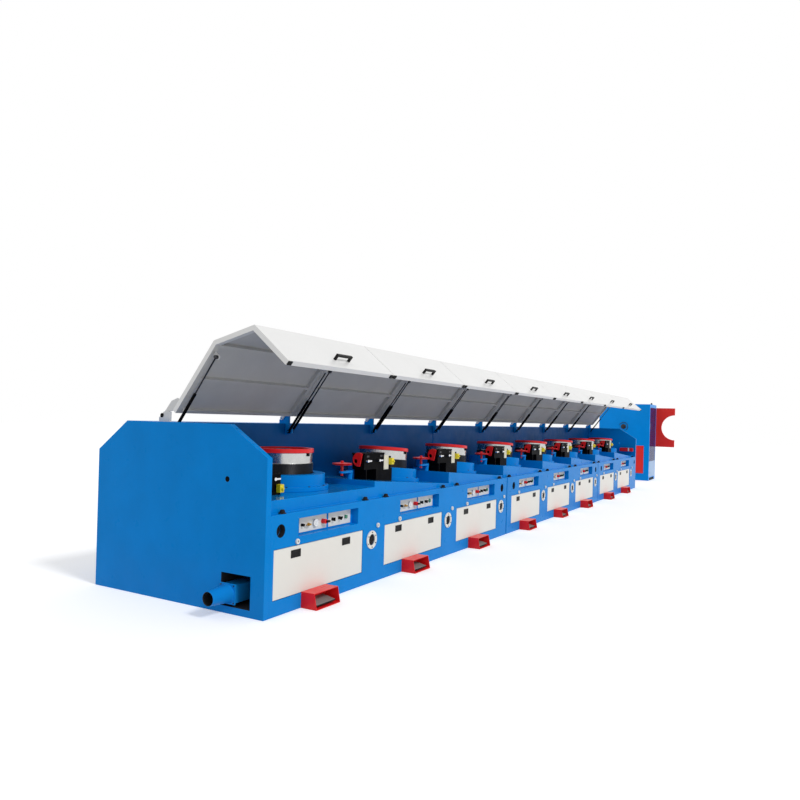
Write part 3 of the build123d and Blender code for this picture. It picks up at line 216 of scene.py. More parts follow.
def dust_group():
    """Shop dust that lies thickest near the floor and fades upwards in clouds."""
    group, start, end = new_group(
        "Dust", "ShaderNodeTree",
        [("Height", "Float", 0.35), ("Amount", "Float", 0.2)],
        [("Mask", "Float")],
    )
    place = add(group, "ShaderNodeTexCoord")
    split = add(group, "ShaderNodeSeparateXYZ")
    fade = add(group, "ShaderNodeMapRange", To_Min=1.0, To_Max=0.0)
    noise = add(group, "ShaderNodeTexNoise", Scale=4.0, Detail=6.0)
    cloud = add(group, "ShaderNodeMath", operation="MULTIPLY")
    share = add(group, "ShaderNodeMath", operation="MULTIPLY")
    join(
        group,
        (place, "Object", split, "Vector"),
        (place, "Object", noise, "Vector"),
        (split, "Z", fade, "Value"),
        (start, "Height", fade, "From Max"),
        (fade, "Result", cloud, 0),
        (noise, "Fac", cloud, 1),
        (cloud, "Value", share, 0),
        (start, "Amount", share, 1),
        (share, "Value", end, "Mask"),
    )
    return group


GROUPS = {}


def placed(material, group_name, **values):
    """A shared group placed in a material with its own values."""
    if group_name not in GROUPS:
        GROUPS[group_name] = {"Mottle": mottle_group, "Peel": peel_group, "Dust": dust_group}[group_name]()
    node = material.node_tree.nodes.new("ShaderNodeGroup")
    node.node_tree = GROUPS[group_name]
    for key, value in values.items():
        node.inputs[key].default_value = value
    return node


def linear(colour):
    """An sRGB colour written 0 to 255, as the linear colour that the shaders take."""
    parts = []
    for part in colour:
        share = part / 255
        parts.append(share / 12.92 if share <= 0.04045 else ((share + 0.055) / 1.055) ** 2.4)
    return (*parts, 1.0)


MATERIALS = {}


def finish_of(
    name, colour, roughness, metallic=0.0, coat=0.0, shift=0.06, scale=2.5, peel=0.05, grain=300.0, dust=0.0,
    specular=0.5,
):
    """A finish: a base colour with slow variation, roughness variation, surface grain and dust."""
    if name in MATERIALS:
        return MATERIALS[name]
    material = bpy.data.materials.new(name)
    material.use_nodes = True
    tree = material.node_tree
    shader = tree.nodes["Principled BSDF"]
    shader.inputs["Metallic"].default_value = metallic
    shader.inputs["Coat Weight"].default_value = coat
    shader.inputs["Coat Roughness"].default_value = 0.12
    shader.inputs["Specular IOR Level"].default_value = specular
    base = linear(colour)
    cloud = placed(material, "Mottle", Scale=scale)
    tones = add(tree, "ShaderNodeMix", data_type="RGBA")
    tones.inputs["A"].default_value = (*[part * (1 - shift) for part in base[:3]], 1.0)
    tones.inputs["B"].default_value = (*[min(1.0, part * (1 + shift)) for part in base[:3]], 1.0)
    tree.links.new(cloud.outputs["Value"], tones.inputs["Factor"])
    colour_out = tones.outputs["Result"]
    if dust:
        mask = placed(material, "Dust", Height=0.5, Amount=dust)
        dusty = add(tree, "ShaderNodeMix", data_type="RGBA")
        dusty.inputs["B"].default_value = linear((170, 168, 160))
        tree.links.new(mask.outputs["Mask"], dusty.inputs["Factor"])
        tree.links.new(colour_out, dusty.inputs["A"])
        colour_out = dusty.outputs["Result"]
    tree.links.new(colour_out, shader.inputs["Base Color"])
    gloss = placed(material, "Mottle", Scale=scale * 3, Low=roughness * 0.85, High=min(1.0, roughness * 1.2))
    tree.links.new(gloss.outputs["Value"], shader.inputs["Roughness"])
    if peel:
        skin = placed(material, "Peel", Scale=grain, Strength=peel)
        tree.links.new(skin.outputs["Normal"], shader.inputs["Normal"])
    material.diffuse_color = base
    MATERIALS[name] = material
    return material


def blue_paint():
    return finish_of("Blue machine paint", (0, 130, 212), 0.3, dust=0.04, peel=0.03, specular=0.05)


def deck_blue():
    return finish_of("Blue deck paint", (0, 134, 214), 0.16, coat=0.25, peel=0.02)


# The machine's blue darkened to a deep blue: painted shade for the rear wall under the hoods.
def shaded_wall_blue():
    return finish_of("Blue paint with painted shade", (0, 92, 160), 0.45, peel=0.04, specular=0.12)


def door_white():
    return finish_of("Off-white door paint", (229, 227, 220), 0.38, shift=0.015, dust=0.06)


def hood_white():
    return finish_of("White hood paint", (228, 228, 227), 0.35, shift=0.015, coat=0.2)


# A grey darker than the hood's white, given to the inside faces of the hoods.
def hood_inside_grey():
    return finish_of(
        "Grey hood inside", (188, 188, 187), 0.6, shift=0.05, peel=0.15, grain=900.0, specular=0.3
    )


def tread_grey():
    return finish_of("Grey tread", (132, 132, 130), 0.6, shift=0.08, peel=0.2, grain=700.0)


def hinge_grey():
    return finish_of("Light grey fittings", (204, 205, 206), 0.4, shift=0.03)


def red_paint():
    return finish_of("Red paint", (228, 30, 34), 0.32, coat=0.1, specular=0.25)


def black_paint():
    return finish_of("Black paint", (9, 9, 11), 0.45, shift=0.15, specular=0.03)


def black_plastic():
    return finish_of("Black moulding", (10, 10, 11), 0.45, shift=0.1, peel=0.2, grain=1500.0, specular=0.15)


def rubber():
    return finish_of("Black rubber", (20, 20, 21), 0.75, shift=0.12, peel=0.3, grain=900.0, specular=0.3)


def cream_paint():
    return finish_of("Cream paint", (226, 220, 196), 0.4, shift=0.03)


def yellow_plastic():
    return finish_of("Yellow moulding", (236, 214, 30), 0.4, shift=0.05, peel=0.1, grain=1200.0)


def bright_steel():
    return finish_of(
        "Ground steel", (196, 197, 196), 0.26, metallic=1.0, shift=0.1, scale=6.0, peel=0.08, grain=500.0
    )


def chrome():
    return finish_of("Chromed steel", (222, 223, 226), 0.1, metallic=1.0, shift=0.03, peel=0.0)


def brass():
    return finish_of("Brass", (196, 146, 62), 0.25, metallic=1.0)


def dark_wire():
    return finish_of("Drawn wire", (46, 46, 48), 0.36, metallic=1.0, shift=0.2, scale=9.0)


def dark_steel():
    return finish_of("Blackened steel", (58, 58, 62), 0.3, metallic=0.8, shift=0.1)


def deep_shadow():
    return finish_of("Dark recess", (14, 16, 22), 0.8, shift=0.1)


def green_plastic():
    return finish_of("Green moulding", (22, 120, 84), 0.3, coat=0.3, shift=0.05)


def dial_white():
    return finish_of("Dial face", (236, 238, 240), 0.3, shift=0.02, peel=0.0)


def stand_blue():
    return finish_of("Blue stand paint", (0, 148, 238), 0.32, peel=0.03, specular=0.12)


def stand_red():
    return finish_of("Red stand paint", (248, 52, 44), 0.32, coat=0.1, shift=0.04, specular=0.25)


def pale_blue():
    return finish_of("Pale blue paint", (150, 182, 220), 0.4, shift=0.03)


def tinted_sheet():
    """The smoked sheet of the take-up window."""
    name = "Tinted sheet"
    if name in MATERIALS:
        return MATERIALS[name]
    material = bpy.data.materials.new(name)
    material.use_nodes = True
    tree = material.node_tree
    shader = tree.nodes["Principled BSDF"]
    shader.inputs["Base Color"].default_value = linear((62, 84, 158))
    shader.inputs["Transmission Weight"].default_value = 0.75
    shader.inputs["IOR"].default_value = 1.08
    gloss = placed(material, "Mottle", Scale=3.0, Low=0.05, High=0.12)
    tree.links.new(gloss.outputs["Value"], shader.inputs["Roughness"])
    MATERIALS[name] = material
    return material


# Mesh building

def link(name, data):
    """A new object in the scene with this data."""
    obj = bpy.data.objects.new(name, data)
    bpy.context.scene.collection.objects.link(obj)
    return obj


def baked(obj):
    """Turn an object with its modifiers into a plain mesh."""
    bpy.context.view_layer.update()
    graph = bpy.context.evaluated_depsgraph_get()
    mesh = bpy.data.meshes.new_from_object(obj.evaluated_get(graph), depsgraph=graph)
    obj.modifiers.clear()
    if obj.type == "MESH":
        obj.data = mesh
        return obj
    name = obj.name
    bpy.data.objects.remove(obj)
    return link(name, mesh)


def shade(mesh):
    """Smooth shading, broken at the sharp edges."""
    mesh.shade_smooth()
    mesh.set_sharp_from_angle(angle=radians(40))


def soften(obj, width):
    """Round the edges and shade the faces between them flat."""
    edge = obj.modifiers.new("Rounded edges", "BEVEL")
    edge.width = width
    edge.segments = 2
    edge.limit_method = "ANGLE"
    edge.angle_limit = radians(35)
    edge.use_clamp_overlap = True
    shade(obj.data)
    flat = obj.modifiers.new("Weighted normals", "WEIGHTED_NORMAL")
    flat.keep_sharp = True
    return baked(obj)


def paint_by(obj, finishes, rule):
    """Give each face the finish whose number the rule returns for its centre and normal."""
    obj.data.materials.clear()
    for finish in finishes:
        obj.data.materials.append(finish)
    for face in obj.data.polygons:
        face.material_index = rule(face.center, face.normal) if rule else 0


def dress(name, nodes, finishes, rule=None, width=STEEL_EDGE, cuts=(), carve=None):
    """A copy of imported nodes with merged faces, rounded edges and a finish on each region."""
    bm = bmesh.new()
    for node in nodes:
        bm.from_mesh(frame["nodes"][node].data)
    bmesh.ops.remove_doubles(bm, verts=bm.verts, dist=2e-5)
    bmesh.ops.dissolve_limit(bm, angle_limit=radians(0.3), verts=bm.verts, edges=bm.edges)
    for point, normal in cuts:
        everything = bm.verts[:] + bm.edges[:] + bm.faces[:]
        bmesh.ops.bisect_plane(bm, geom=everything, plane_co=point, plane_no=normal)
    if carve:
        carve(bm)
    mesh = bpy.data.meshes.new(name)
    bm.to_mesh(mesh)
    bm.free()
    obj = link(name, mesh)
    mesh.materials.append(finishes[0])
    if width:
        places = [vert.co.copy() for vert in mesh.vertices]
        low = [min(place[axis] for place in places) for axis in range(3)]
        high = [max(place[axis] for place in places) for axis in range(3)]
        obj = soften(obj, width)
        for vert in obj.data.vertices:
            vert.co = [min(max(vert.co[axis], low[axis]), high[axis]) for axis in range(3)]
    paint_by(obj, finishes, rule)
    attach(obj, frame["nodes"][nodes[0]]["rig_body"])
    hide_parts(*nodes)
    return obj


def new_piece(name, bm, finish, body, width=0.0):
    """A piece of its own from a bmesh."""
    bmesh.ops.recalc_face_normals(bm, faces=bm.faces)
    mesh = bpy.data.meshes.new(name)
    bm.to_mesh(mesh)
    bm.free()
    obj = link(name, mesh)
    mesh.materials.append(finish)
    if width:
        obj = soften(obj, width)
    else:
        shade(mesh)
    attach(obj, body)
    return obj


def turned(bm, profile, matrix, sides=32):
    """Add a closed solid turned from (radius, height) pairs about the matrix's Z."""
    rings = []
    for radius, height in profile:
        if radius < 1e-6:
            rings.append([bm.verts.new(matrix @ Vector((0, 0, height)))])
            continue
        ring = []
        for k in range(sides):
            a = 2 * pi * k / sides
            ring.append(bm.verts.new(matrix @ Vector((radius * cos(a), radius * sin(a), height))))
        rings.append(ring)
    for low, high in zip(rings, rings[1:]):
        for k in range(sides):
            j = (k + 1) % sides
            if len(low) == 1:
                bm.faces.new((low[0], high[j], high[k]))
            elif len(high) == 1:
                bm.faces.new((low[k], low[j], high[0]))
            else:
                bm.faces.new((low[k], low[j], high[j], high[k]))


def block(bm, centre, size, matrix=None):
    """Add a box, turned by the matrix about its own centre."""
    cube = bmesh.ops.create_cube(bm, size=1.0)
    for vert in cube["verts"]:
        place = Vector((vert.co.x * size[0], vert.co.y * size[1], vert.co.z * size[2]))
        vert.co = Vector(centre) + (matrix @ place if matrix else place)


def tube(name, points, radius, finish, body):
    """A round bar that follows points, closed at its ends."""
    data = bpy.data.curves.new(name, "CURVE")
    data.dimensions = "3D"
    data.bevel_depth = radius
    data.bevel_resolution = 4
    data.use_fill_caps = True
    spline = data.splines.new("POLY")
    spline.points.add(len(points) - 1)
    for point, place in zip(spline.points, points):
        point.co = (*place, 1.0)
    obj = baked(link(name, data))
    obj.data.materials.clear()
    obj.data.materials.append(finish)
    shade(obj.data)
    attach(obj, body)
    return obj


FACE_FRONT = Matrix.Rotation(radians(90), 4, "X")
FACE_ENTRY = Matrix.Rotation(radians(-90), 4, "Y")
FACE_EXIT = Matrix.Rotation(radians(90), 4, "Y")


def at(x, y, z, turn=Matrix.Identity(4)):
    """The matrix that turns a piece and moves it to its place."""
    return Matrix.Translation((x, y, z)) @ turn


# Repeats made by geometry nodes

def new_tree(name, inputs):
    """An empty geometry tree that takes and gives geometry, and its start and end nodes."""
    sockets = [("Geometry", "Geometry", None), *inputs]
    return new_group(name, "GeometryNodeTree", sockets, [("Geometry", "Geometry")])


def close_tree(group, start, end, geometry):
    """Realize what was instanced and give it the finish."""
    real = add(group, "GeometryNodeRealizeInstances")
    finish = add(group, "GeometryNodeSetMaterial")
    group.links.new(geometry, real.inputs["Geometry"])
    join(
        group,
        (real, "Geometry", finish, "Geometry"),
        (start, "Finish", finish, "Material"),
        (finish, "Geometry", end, "Geometry"),
    )


def heads_tree():
    """A bolt head on each point of the input."""
    group, start, end = new_tree(
        "Bolt heads",
        [
            ("Head radius", "Float", 0.008),
            ("Head height", "Float", 0.006),
            ("Sides", "Int", 6),
            ("Facing", "Vector", (0.0, 0.0, 0.0)),
            ("Finish", "Material", None),
        ],
    )
    head = add(group, "GeometryNodeMeshCylinder")
    spots = add(group, "GeometryNodeInstanceOnPoints")
    turn = add(group, "FunctionNodeEulerToRotation")
    join(
        group,
        (start, "Sides", head, "Vertices"),
        (start, "Head radius", head, "Radius"),
        (start, "Head height", head, "Depth"),
        (start, "Geometry", spots, "Points"),
        (head, "Mesh", spots, "Instance"),
        (start, "Facing", turn, "Euler"),
        (turn, "Rotation", spots, "Rotation"),
    )
    close_tree(group, start, end, spots.outputs["Instances"])
    return group


def coil_tree():
    """Close turns of wire, one above the other, then turned and moved to their drum."""
    group, start, end = new_tree(
        "Wound wire",
        [
            ("Turns", "Int", 16),
            ("Pitch", "Float", 0.0061),
            ("Coil radius", "Float", 0.28),
            ("Wire radius", "Float", 0.003),
            ("Foot", "Vector", (0.0, 0.0, 0.0)),
            ("Lean", "Vector", (0.0, 0.0, 0.0)),
            ("Finish", "Material", None),
        ],
    )
    line = add(group, "GeometryNodeMeshLine")
    rise = add(group, "ShaderNodeCombineXYZ")
    ring = add(group, "GeometryNodeCurvePrimitiveCircle", Resolution=72)
    section = add(group, "GeometryNodeCurvePrimitiveCircle", Resolution=6)
    skin = add(group, "GeometryNodeCurveToMesh")
    stack = add(group, "GeometryNodeInstanceOnPoints")
    place = add(group, "GeometryNodeTransform")
    turn = add(group, "FunctionNodeEulerToRotation")
    join(
        group,
        (start, "Turns", line, "Count"),
        (start, "Pitch", rise, "Z"),
        (rise, "Vector", line, "Offset"),
        (start, "Coil radius", ring, "Radius"),
        (start, "Wire radius", section, "Radius"),
        (ring, "Curve", skin, "Curve"),
        (section, "Curve", skin, "Profile Curve"),
        (line, "Mesh", stack, "Points"),
        (skin, "Mesh", stack, "Instance"),
        (stack, "Instances", place, "Geometry"),
        (start, "Foot", place, "Translation"),
        (start, "Lean", turn, "Euler"),
        (turn, "Rotation", place, "Rotation"),
    )
    close_tree(group, start, end, place.outputs["Geometry"])
    return group


def screen_tree():
    """A woven wire screen in a round hole, one at each point of the input."""
    group, start, end = new_tree(
        "Vent screen",
        [
            ("Hole radius", "Float", 0.056),
            ("Wires", "Int", 15),
            ("Wire radius", "Float", 0.0011),
            ("Facing", "Vector", (0.0, 0.0, 0.0)),
            ("Finish", "Material", None),
        ],
    )
    width = add(group, "ShaderNodeMath", operation="MULTIPLY")
    width.inputs[1].default_value = 2.0
    grid = add(group, "GeometryNodeMeshGrid")
    where = add(group, "GeometryNodeInputPosition")
    reach = add(group, "ShaderNodeVectorMath", operation="LENGTH")
    outside = add(group, "FunctionNodeCompare", data_type="FLOAT", operation="GREATER_THAN")
    cut = add(group, "GeometryNodeDeleteGeometry")
    lines = add(group, "GeometryNodeMeshToCurve")
    section = add(group, "GeometryNodeCurvePrimitiveCircle", Resolution=4)
    skin = add(group, "GeometryNodeCurveToMesh")
    spots = add(group, "GeometryNodeInstanceOnPoints")
    turn = add(group, "FunctionNodeEulerToRotation")
    join(
        group,
        (start, "Hole radius", width, 0),
        (width, "Value", grid, "Size X"),
        (width, "Value", grid, "Size Y"),
        (start, "Wires", grid, "Vertices X"),
        (start, "Wires", grid, "Vertices Y"),
        (where, "Position", reach, 0),
        (reach, "Value", outside, "A"),
        (start, "Hole radius", outside, "B"),
        (grid, "Mesh", cut, "Geometry"),
        (outside, "Result", cut, "Selection"),
        (cut, "Geometry", lines, "Mesh"),
        (start, "Wire radius", section, "Radius"),
        (lines, "Curve", skin, "Curve"),
        (section, "Curve", skin, "Profile Curve"),
        (start, "Geometry", spots, "Points"),
        (skin, "Mesh", spots, "Instance"),
        (start, "Facing", turn, "Euler"),
        (turn, "Rotation", spots, "Rotation"),
    )
    close_tree(group, start, end, spots.outputs["Instances"])
    return group


TREES = {}


def grown(name, tree_name, points, body, slot, **values):
    """A piece that a geometry tree grows on points."""
    if tree_name not in TREES:
        TREES[tree_name] = {"heads": heads_tree, "coil": coil_tree, "screen": screen_tree}[tree_name]()
    group = TREES[tree_name]
    mesh = bpy.data.meshes.new(name)
    mesh.from_pydata([tuple(point) for point in points], [], [])
    obj = link(name, mesh)
    modifier = obj.modifiers.new(tree_name, "NODES")
    modifier.node_group = group
    for item in group.interface.items_tree:
        label = item.name.replace(" ", "_").lower()
        if item.in_out == "INPUT" and label in values:
            modifier[item.identifier] = values[label]
    obj = baked(obj)
    shade(obj.data)
    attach(obj, body)
    return obj


# Places on the machine

def deck_height(index, x):
    """Height of the deck of one block, where index counts from 0."""
    if index == 0:
        return FIRST_DECK
    return DECK_FOOT + (DECK_LENGTH - (x - STATIONS[index])) * sin(DECK_TILT) / cos(DECK_TILT)


def drum_axis(index):
    """The matrix of a drawing block: its foot on the deck and its axis."""
    lean = Matrix.Rotation(DECK_TILT if index else 0.0, 4, "Y")
    x = BLOCK_CENTRES[index]
    return at(x, BLOCK_CENTRE_Y, deck_height(index, x), lean)


def opened(y, z):
    """A point of the closed hood, turned to the open pose."""
    dy, dz = y - HOOD_PIVOT[0], z - HOOD_PIVOT[1]
    c, s = cos(HOOD_OPEN), sin(HOOD_OPEN)
    return HOOD_PIVOT[0] + dy * c + dz * s, HOOD_PIVOT[1] - dy * s + dz * c


def offset_of(x):
    """How far a place stands beyond its own station."""
    return min(x - station for station in STATIONS if x >= station - 0.01)


# Pieces

def make_base():
    """End plates, base frames, rear housings and rear covers."""

    def in_duct_mouth(centre):
        return centre.x < 0.62 and 0.12 < centre.y < 0.52 and 0.03 < centre.z < 0.36

    def end_rule(centre, normal):
        in_wire_hole = any(
            hypot(centre.y - WIRE_Y, centre.z - height) < WIRE_HOLE_REACH for height in WIRE_HEIGHTS[:2]
        )
        return 1 if (in_duct_mouth(centre) or in_wire_hole) and abs(normal.x) < 0.5 else 0

    dress(
        "painted_end_plates", ["end_plates"], [blue_paint(), deep_shadow()], end_rule,
        width=0.004,
    )
    for number in FRAMES:

        def frame_rule(centre, normal):
            back, behind = POCKET_BACK_Y
            if back < centre.y < behind and normal.y < -FACING or in_duct_mouth(centre):
                return 1
            offset = offset_of(centre.x)
            beside_recess = (
                abs(centre.z - RECESS_MIDDLE) < RECESS_REACH
                and not RECESS_OFFSETS[0] < offset < RECESS_OFFSETS[1]
            )
            in_vent = abs(centre.z - VENT_HEIGHT) < VENT_REACH and offset > VENT_OFFSET - 0.07
            if 0.004 < centre.y < back and abs(normal.y) < 0.5 and (beside_recess or in_vent):
                return 1
            return 2 if normal.z > FACING and centre.z > 0.8 else 0

        dress(
            f"painted_frame_{number}", [f"frame_{number}"], [blue_paint(), deep_shadow(), deck_blue()],
            frame_rule, width=0.003,
        )

        def housing_rule(centre, normal):
            # The face of the rear wall behind the drums gets painted shade, a darker blue than the housing.
            return 1 if abs(centre.y - REAR_WALL_Y) < 0.002 else 0

        dress(
            f"painted_housing_{number}", [f"rear_housing_{number}"], [blue_paint(), shaded_wall_blue()],
            housing_rule, width=0.004,
        )
    dress("painted_rear_covers", ["rear_covers"], [blue_paint()], width=0.0015)
    low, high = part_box("rear_covers")
    first, last = COVER_OFFSETS
    bottom, top = low.z + COVER_MARGIN, high.z - COVER_MARGIN
    sunk = high.y - 0.004
    points = []
    for station in STATIONS:
        for k in range(6):
            x = station + first + (last - first) * k / 5
            points += [(x, sunk, bottom), (x, sunk, top)]
        for k in range(1, 4):
            z = bottom + (top - bottom) * k / 4
            points += [(station + first, sunk, z), (station + last, sunk, z)]
    grown(
        "rear_cover_screws", "heads", points, "root", "steel",
        head_radius=0.007, head_height=0.008, sides=12, facing=TO_FRONT, finish=bright_steel(),
    )


def make_doors():
    """Access doors with their recessed latches."""
    dress("painted_doors", ["access_doors"], [door_white()], width=0.004)
    dress("moulded_latches", ["door_latches"], [black_plastic()], width=0.0012)


def make_controls():
    """Control plates with their knobs, gauge, valve, switches and push buttons."""
    dress("painted_control_plates", ["control_plates"], [door_white()], width=0.001)

    def knob_rule(centre, normal):
        offset = offset_of(centre.x)
        if 0.69 < offset < 0.79:
            return 1 if normal.y < -FACING else 2
        if 0.8 < offset < 0.9:
            return 3
        if offset > 1.18:
            return 4
        return 0

    finishes = [black_plastic(), dial_white(), hinge_grey(), red_paint(), green_plastic()]
    dress("control_knob_bodies", ["control_knobs"], finishes, knob_rule, width=0.001)
    face = PLATE_FACE_Y
    rings, levers, brasses, marks, eyes = (bmesh.new() for _ in range(5))
    for station in STATIONS:
        # The gauge's rim and needle
        gauge = station + GAUGE_OFFSET
        turned(rings, GAUGE_RIM, at(gauge, face, KNOB_HEIGHT, FACE_FRONT))
        block(marks, (gauge - 0.004, face - NEEDLE_FACE, KNOB_HEIGHT + 0.005), (0.0016, 0.001, 0.024))
        block(marks, (gauge, face - NEEDLE_FACE, KNOB_HEIGHT - 0.014), (0.022, 0.001, 0.0012))
        # Rims of the switches and the push button
        for offset, radius in ((1.005, 0.021), (1.112, 0.021), (1.218, 0.024)):
            inner = radius - 0.004
            profile = ((inner, CONTACT_GAP), (radius, CONTACT_GAP), (radius, 0.005), (inner, 0.005))
            turned(rings, profile + profile[:1], at(station + offset, face, KNOB_HEIGHT, FACE_FRONT))
        # Levers of the switches and of the regulator
        block(levers, (station + 1.005, face - 0.03, KNOB_HEIGHT), (0.009, 0.012, 0.034))
        tilt = Matrix.Rotation(radians(40), 3, "Y")
        block(levers, (station + 1.118, face - 0.03, KNOB_HEIGHT - 0.002), (0.009, 0.012, 0.036), tilt)
        block(levers, (station + 0.876, face - 0.05, KNOB_HEIGHT - 0.002), (0.05, 0.013, 0.02))
        # The brass valve with its hose tail
        valve_height = KNOB_HEIGHT - 0.004
        turned(brasses, VALVE_NUT, at(station + 0.642, face - CONTACT_GAP, valve_height, FACE_FRONT), sides=6)
        turned(brasses, VALVE_TAIL, at(station + 0.648, face - 0.026, valve_height, FACE_ENTRY), sides=16)
        # Earth posts below the recess
        for offset, height in ((0.401, 0.578), (1.69, 0.562)):
            turned(eyes, EARTH_POST, at(station + offset, -CONTACT_GAP, height, FACE_FRONT), sides=20)
    new_piece("control_rims", rings, chrome(), "root")
    new_piece("switch_levers", levers, black_plastic(), "root", width=0.0015)
    new_piece("brass_valves", brasses, brass(), "root")
    new_piece("gauge_needles", marks, black_plastic(), "root")
    new_piece("earth_posts", eyes, door_white(), "root")


def make_vents():
    """Vent rings with their bolts and wire screens."""
    dress("vent_ring_plates", ["vent_rings"], [door_white()], width=0.0015)
    centres = [(station + VENT_OFFSET, VENT_HEIGHT) for station in STATIONS]
    bolts = []
    for x, z in centres:
        for k in range(6):
            a = radians(60 * k + 30)
            bolts.append((x + VENT_BOLT_RADIUS * cos(a), -0.0135, z + VENT_BOLT_RADIUS * sin(a)))
    grown(
        "vent_bolts", "heads", bolts, "root", "steel",
        head_radius=0.0065, head_height=0.006, sides=6, facing=TO_FRONT, finish=dark_steel(),
    )
    grown(
        "vent_screens", "screen", [(x, -0.002, z) for x, z in centres], "root", "steel",
        hole_radius=0.056, facing=TO_FRONT, finish=dark_steel(),
    )


def make_duct():
    """The duct stub, dark inside."""

    def duct_rule(centre, normal):
        y, z = centre.y - DUCT_CENTRE[0], centre.z - DUCT_CENTRE[1]
        inward = y * normal.y + z * normal.z < 0
        return 1 if centre.x < -0.012 and hypot(y, z) < DUCT_BORE_REACH and inward else 0

    dress("duct_spout", ["duct_outlet"], [blue_paint(), deep_shadow()], duct_rule, width=0.0015)
    sides = (-DUCT_SCREW_REACH, DUCT_SCREW_REACH)
    screws = [(-0.0145, DUCT_CENTRE[0] + y, DUCT_CENTRE[1] + z) for y in sides for z in sides]
    grown(
        "duct_screws", "heads", screws, "root", "steel",
        head_radius=0.006, head_height=0.005, sides=6, facing=TO_ENTRY, finish=dark_steel(),
    )


def make_blocks():
    """Ring housings with their bolts, drawing blocks and the wire wound on them."""
    dress("painted_rings", ["ring_housings"], [blue_paint()], width=0.003)
    for index in range(len(STATIONS)):
        axis = drum_axis(index)
        up = (axis.to_3x3() @ Vector((0, 0, 1))).normalized()
        foot = axis.translation
        number = index + 1
        body = f"capstan_{number}"
        lean = (0.0, DECK_TILT if index else 0.0, 0.0)

        def drum_rule(centre, normal, up=up, foot=foot):
            height = (centre - foot).dot(up)
            out = (centre - foot - up * height).length
            if height > 0.346 and out > 0.25 or height > 0.3835:
                return 1
            if height < 0.246 or out < 0.25:
                return 2
            return 0

        dress(
            f"drawing_block_{number}", [body], [bright_steel(), red_paint(), dark_steel()],
            drum_rule, width=0.003,
        )
        grown(
            f"wound_wire_{number}", "coil", [(0, 0, 0)], body, "steel",
            turns=16, coil_radius=0.2934, wire_radius=0.0031, foot=tuple(foot + up * COIL_FOOT),
            lean=lean, finish=dark_wire(),
        )
        clips = bmesh.new()
        place = axis @ Matrix.Rotation(CLIP_ANGLE, 4, "Z") @ Matrix.Translation(CLIP_PLACE)
        block(clips, place.translation, (0.012, 0.03, 0.03), place.to_3x3())
        new_piece(f"wire_clip_{number}", clips, black_paint(), body, width=0.002)
        flange = [
            tuple(axis @ Vector((FLANGE_BOLT_RADIUS * cos(a), FLANGE_BOLT_RADIUS * sin(a), FLANGE_TOP)))
            for a in [radians(30 * k + 15) for k in range(12)]
        ]
        grown(
            f"ring_bolts_{number}", "heads", flange, "root", "steel",
            head_radius=0.0085, head_height=0.008, sides=6, facing=lean, finish=dark_steel(),
        )


def make_die_boxes():
    """Die boxes with their plates, switch boxes, levers and hinges."""
    dress("die_box_bodies", ["die_boxes"], [black_paint()], width=0.003)

    def plate_rule(centre, normal):
        offset = offset_of(centre.x)
        return 1 if 0.6835 < offset < 0.74 or offset < 0.57 else 0

    dress(
        "die_box_plates", ["die_side_plates"], [cream_paint(), yellow_plastic()], plate_rule,
        width=0.0025,
    )
    dress("die_box_clamps", ["die_clamps"], [chrome()], width=0.002)
    knobs, hinges = bmesh.new(), bmesh.new()
    screws = []
    for index, (station, wire) in enumerate(zip(STATIONS, WIRE_HEIGHTS)):
        switch_x, switch_z = (0.711, wire - 0.013) if index else (0.527, wire - 0.106)
        turned(knobs, SWITCH_KNOB, at(station + switch_x, 0.2778, switch_z, FACE_FRONT), sides=20)
        if index:
            for offset in (0.25, 0.52):
                block(hinges, (station + offset, 0.3195, wire + 0.052), (0.05, 0.007, 0.02))
            corners = [(x, z) for x in (0.59, 0.668) for z in (wire - 0.092, wire + 0.045)]
            screws += [(station + x, 0.3135, z) for x, z in corners]
    new_piece("switch_knobs", knobs, yellow_plastic(), "root")
    new_piece("die_box_hinges", hinges, dark_steel(), "root", width=0.001)
    grown(
        "die_plate_screws", "heads", screws, "root", "steel",
        head_radius=0.0045, head_height=0.003, sides=12, facing=TO_FRONT, finish=bright_steel(),
    )


def cut_guard_discs(bm):
    """Cut the front off each guard disc along a leaning chord, and close the cut."""
    for index, (station, wire) in enumerate(zip(STATIONS, WIRE_HEIGHTS)):
        low, high = (station + offset for offset in GUARD_DISC_SPAN)
        verts = [vert for vert in bm.verts if low < vert.co.x < high]
        disc = set(verts)  # only looked up, as the order of a set changes from run to run
        edges = [edge for edge in bm.edges if disc.issuperset(edge.verts)]
        faces = [face for face in bm.faces if disc.issuperset(face.verts)]
        cut = bmesh.ops.bisect_plane(
            bm, geom=[*verts, *edges, *faces], clear_outer=True,
            plane_co=(0, GUARD_CHORD_Y, wire + (GUARD_DISC_LIFT if index else 0)),
            plane_no=(0, -cos(GUARD_CHORD_LEAN), -sin(GUARD_CHORD_LEAN)),
        )
        loop = [part for part in cut["geom_cut"] if isinstance(part, bmesh.types.BMEdge)]
        bmesh.ops.contextual_create(bm, geom=loop)


def make_guides():
    """Sheaves and guard discs, and the arms of the sheaves."""
    dress(
        "painted_sheaves", ["wire_guides"], [red_paint()], width=0.0015, carve=cut_guard_discs
    )
    dress("painted_arms", ["sheave_arms"], [blue_paint()], width=0.002)


def make_pedals():
    """Foot-switch guards and their treadles with a grey tread."""
    dress("pedal_covers", ["pedal_guards"], [red_paint()], width=0.0015)

    def tread_rule(centre, normal):
        return 1 if normal.z > 0.7 else 0

    dress(
        "pedal_treadles", ["foot_pedals"], [black_plastic(), tread_grey()], tread_rule,
        width=0.002,
    )


def hood_lines():
    """The open hood's outer lines, each with its outward normal."""
    points = [opened(*point) for point in HOOD_CLOSED_PROFILE]
    lines = []
    for (ya, za), (yb, zb) in zip(points, points[1:]):
        length = hypot(yb - ya, zb - za)
        lines.append(((ya, za), ((zb - za) / length, -(yb - ya) / length)))
    return lines


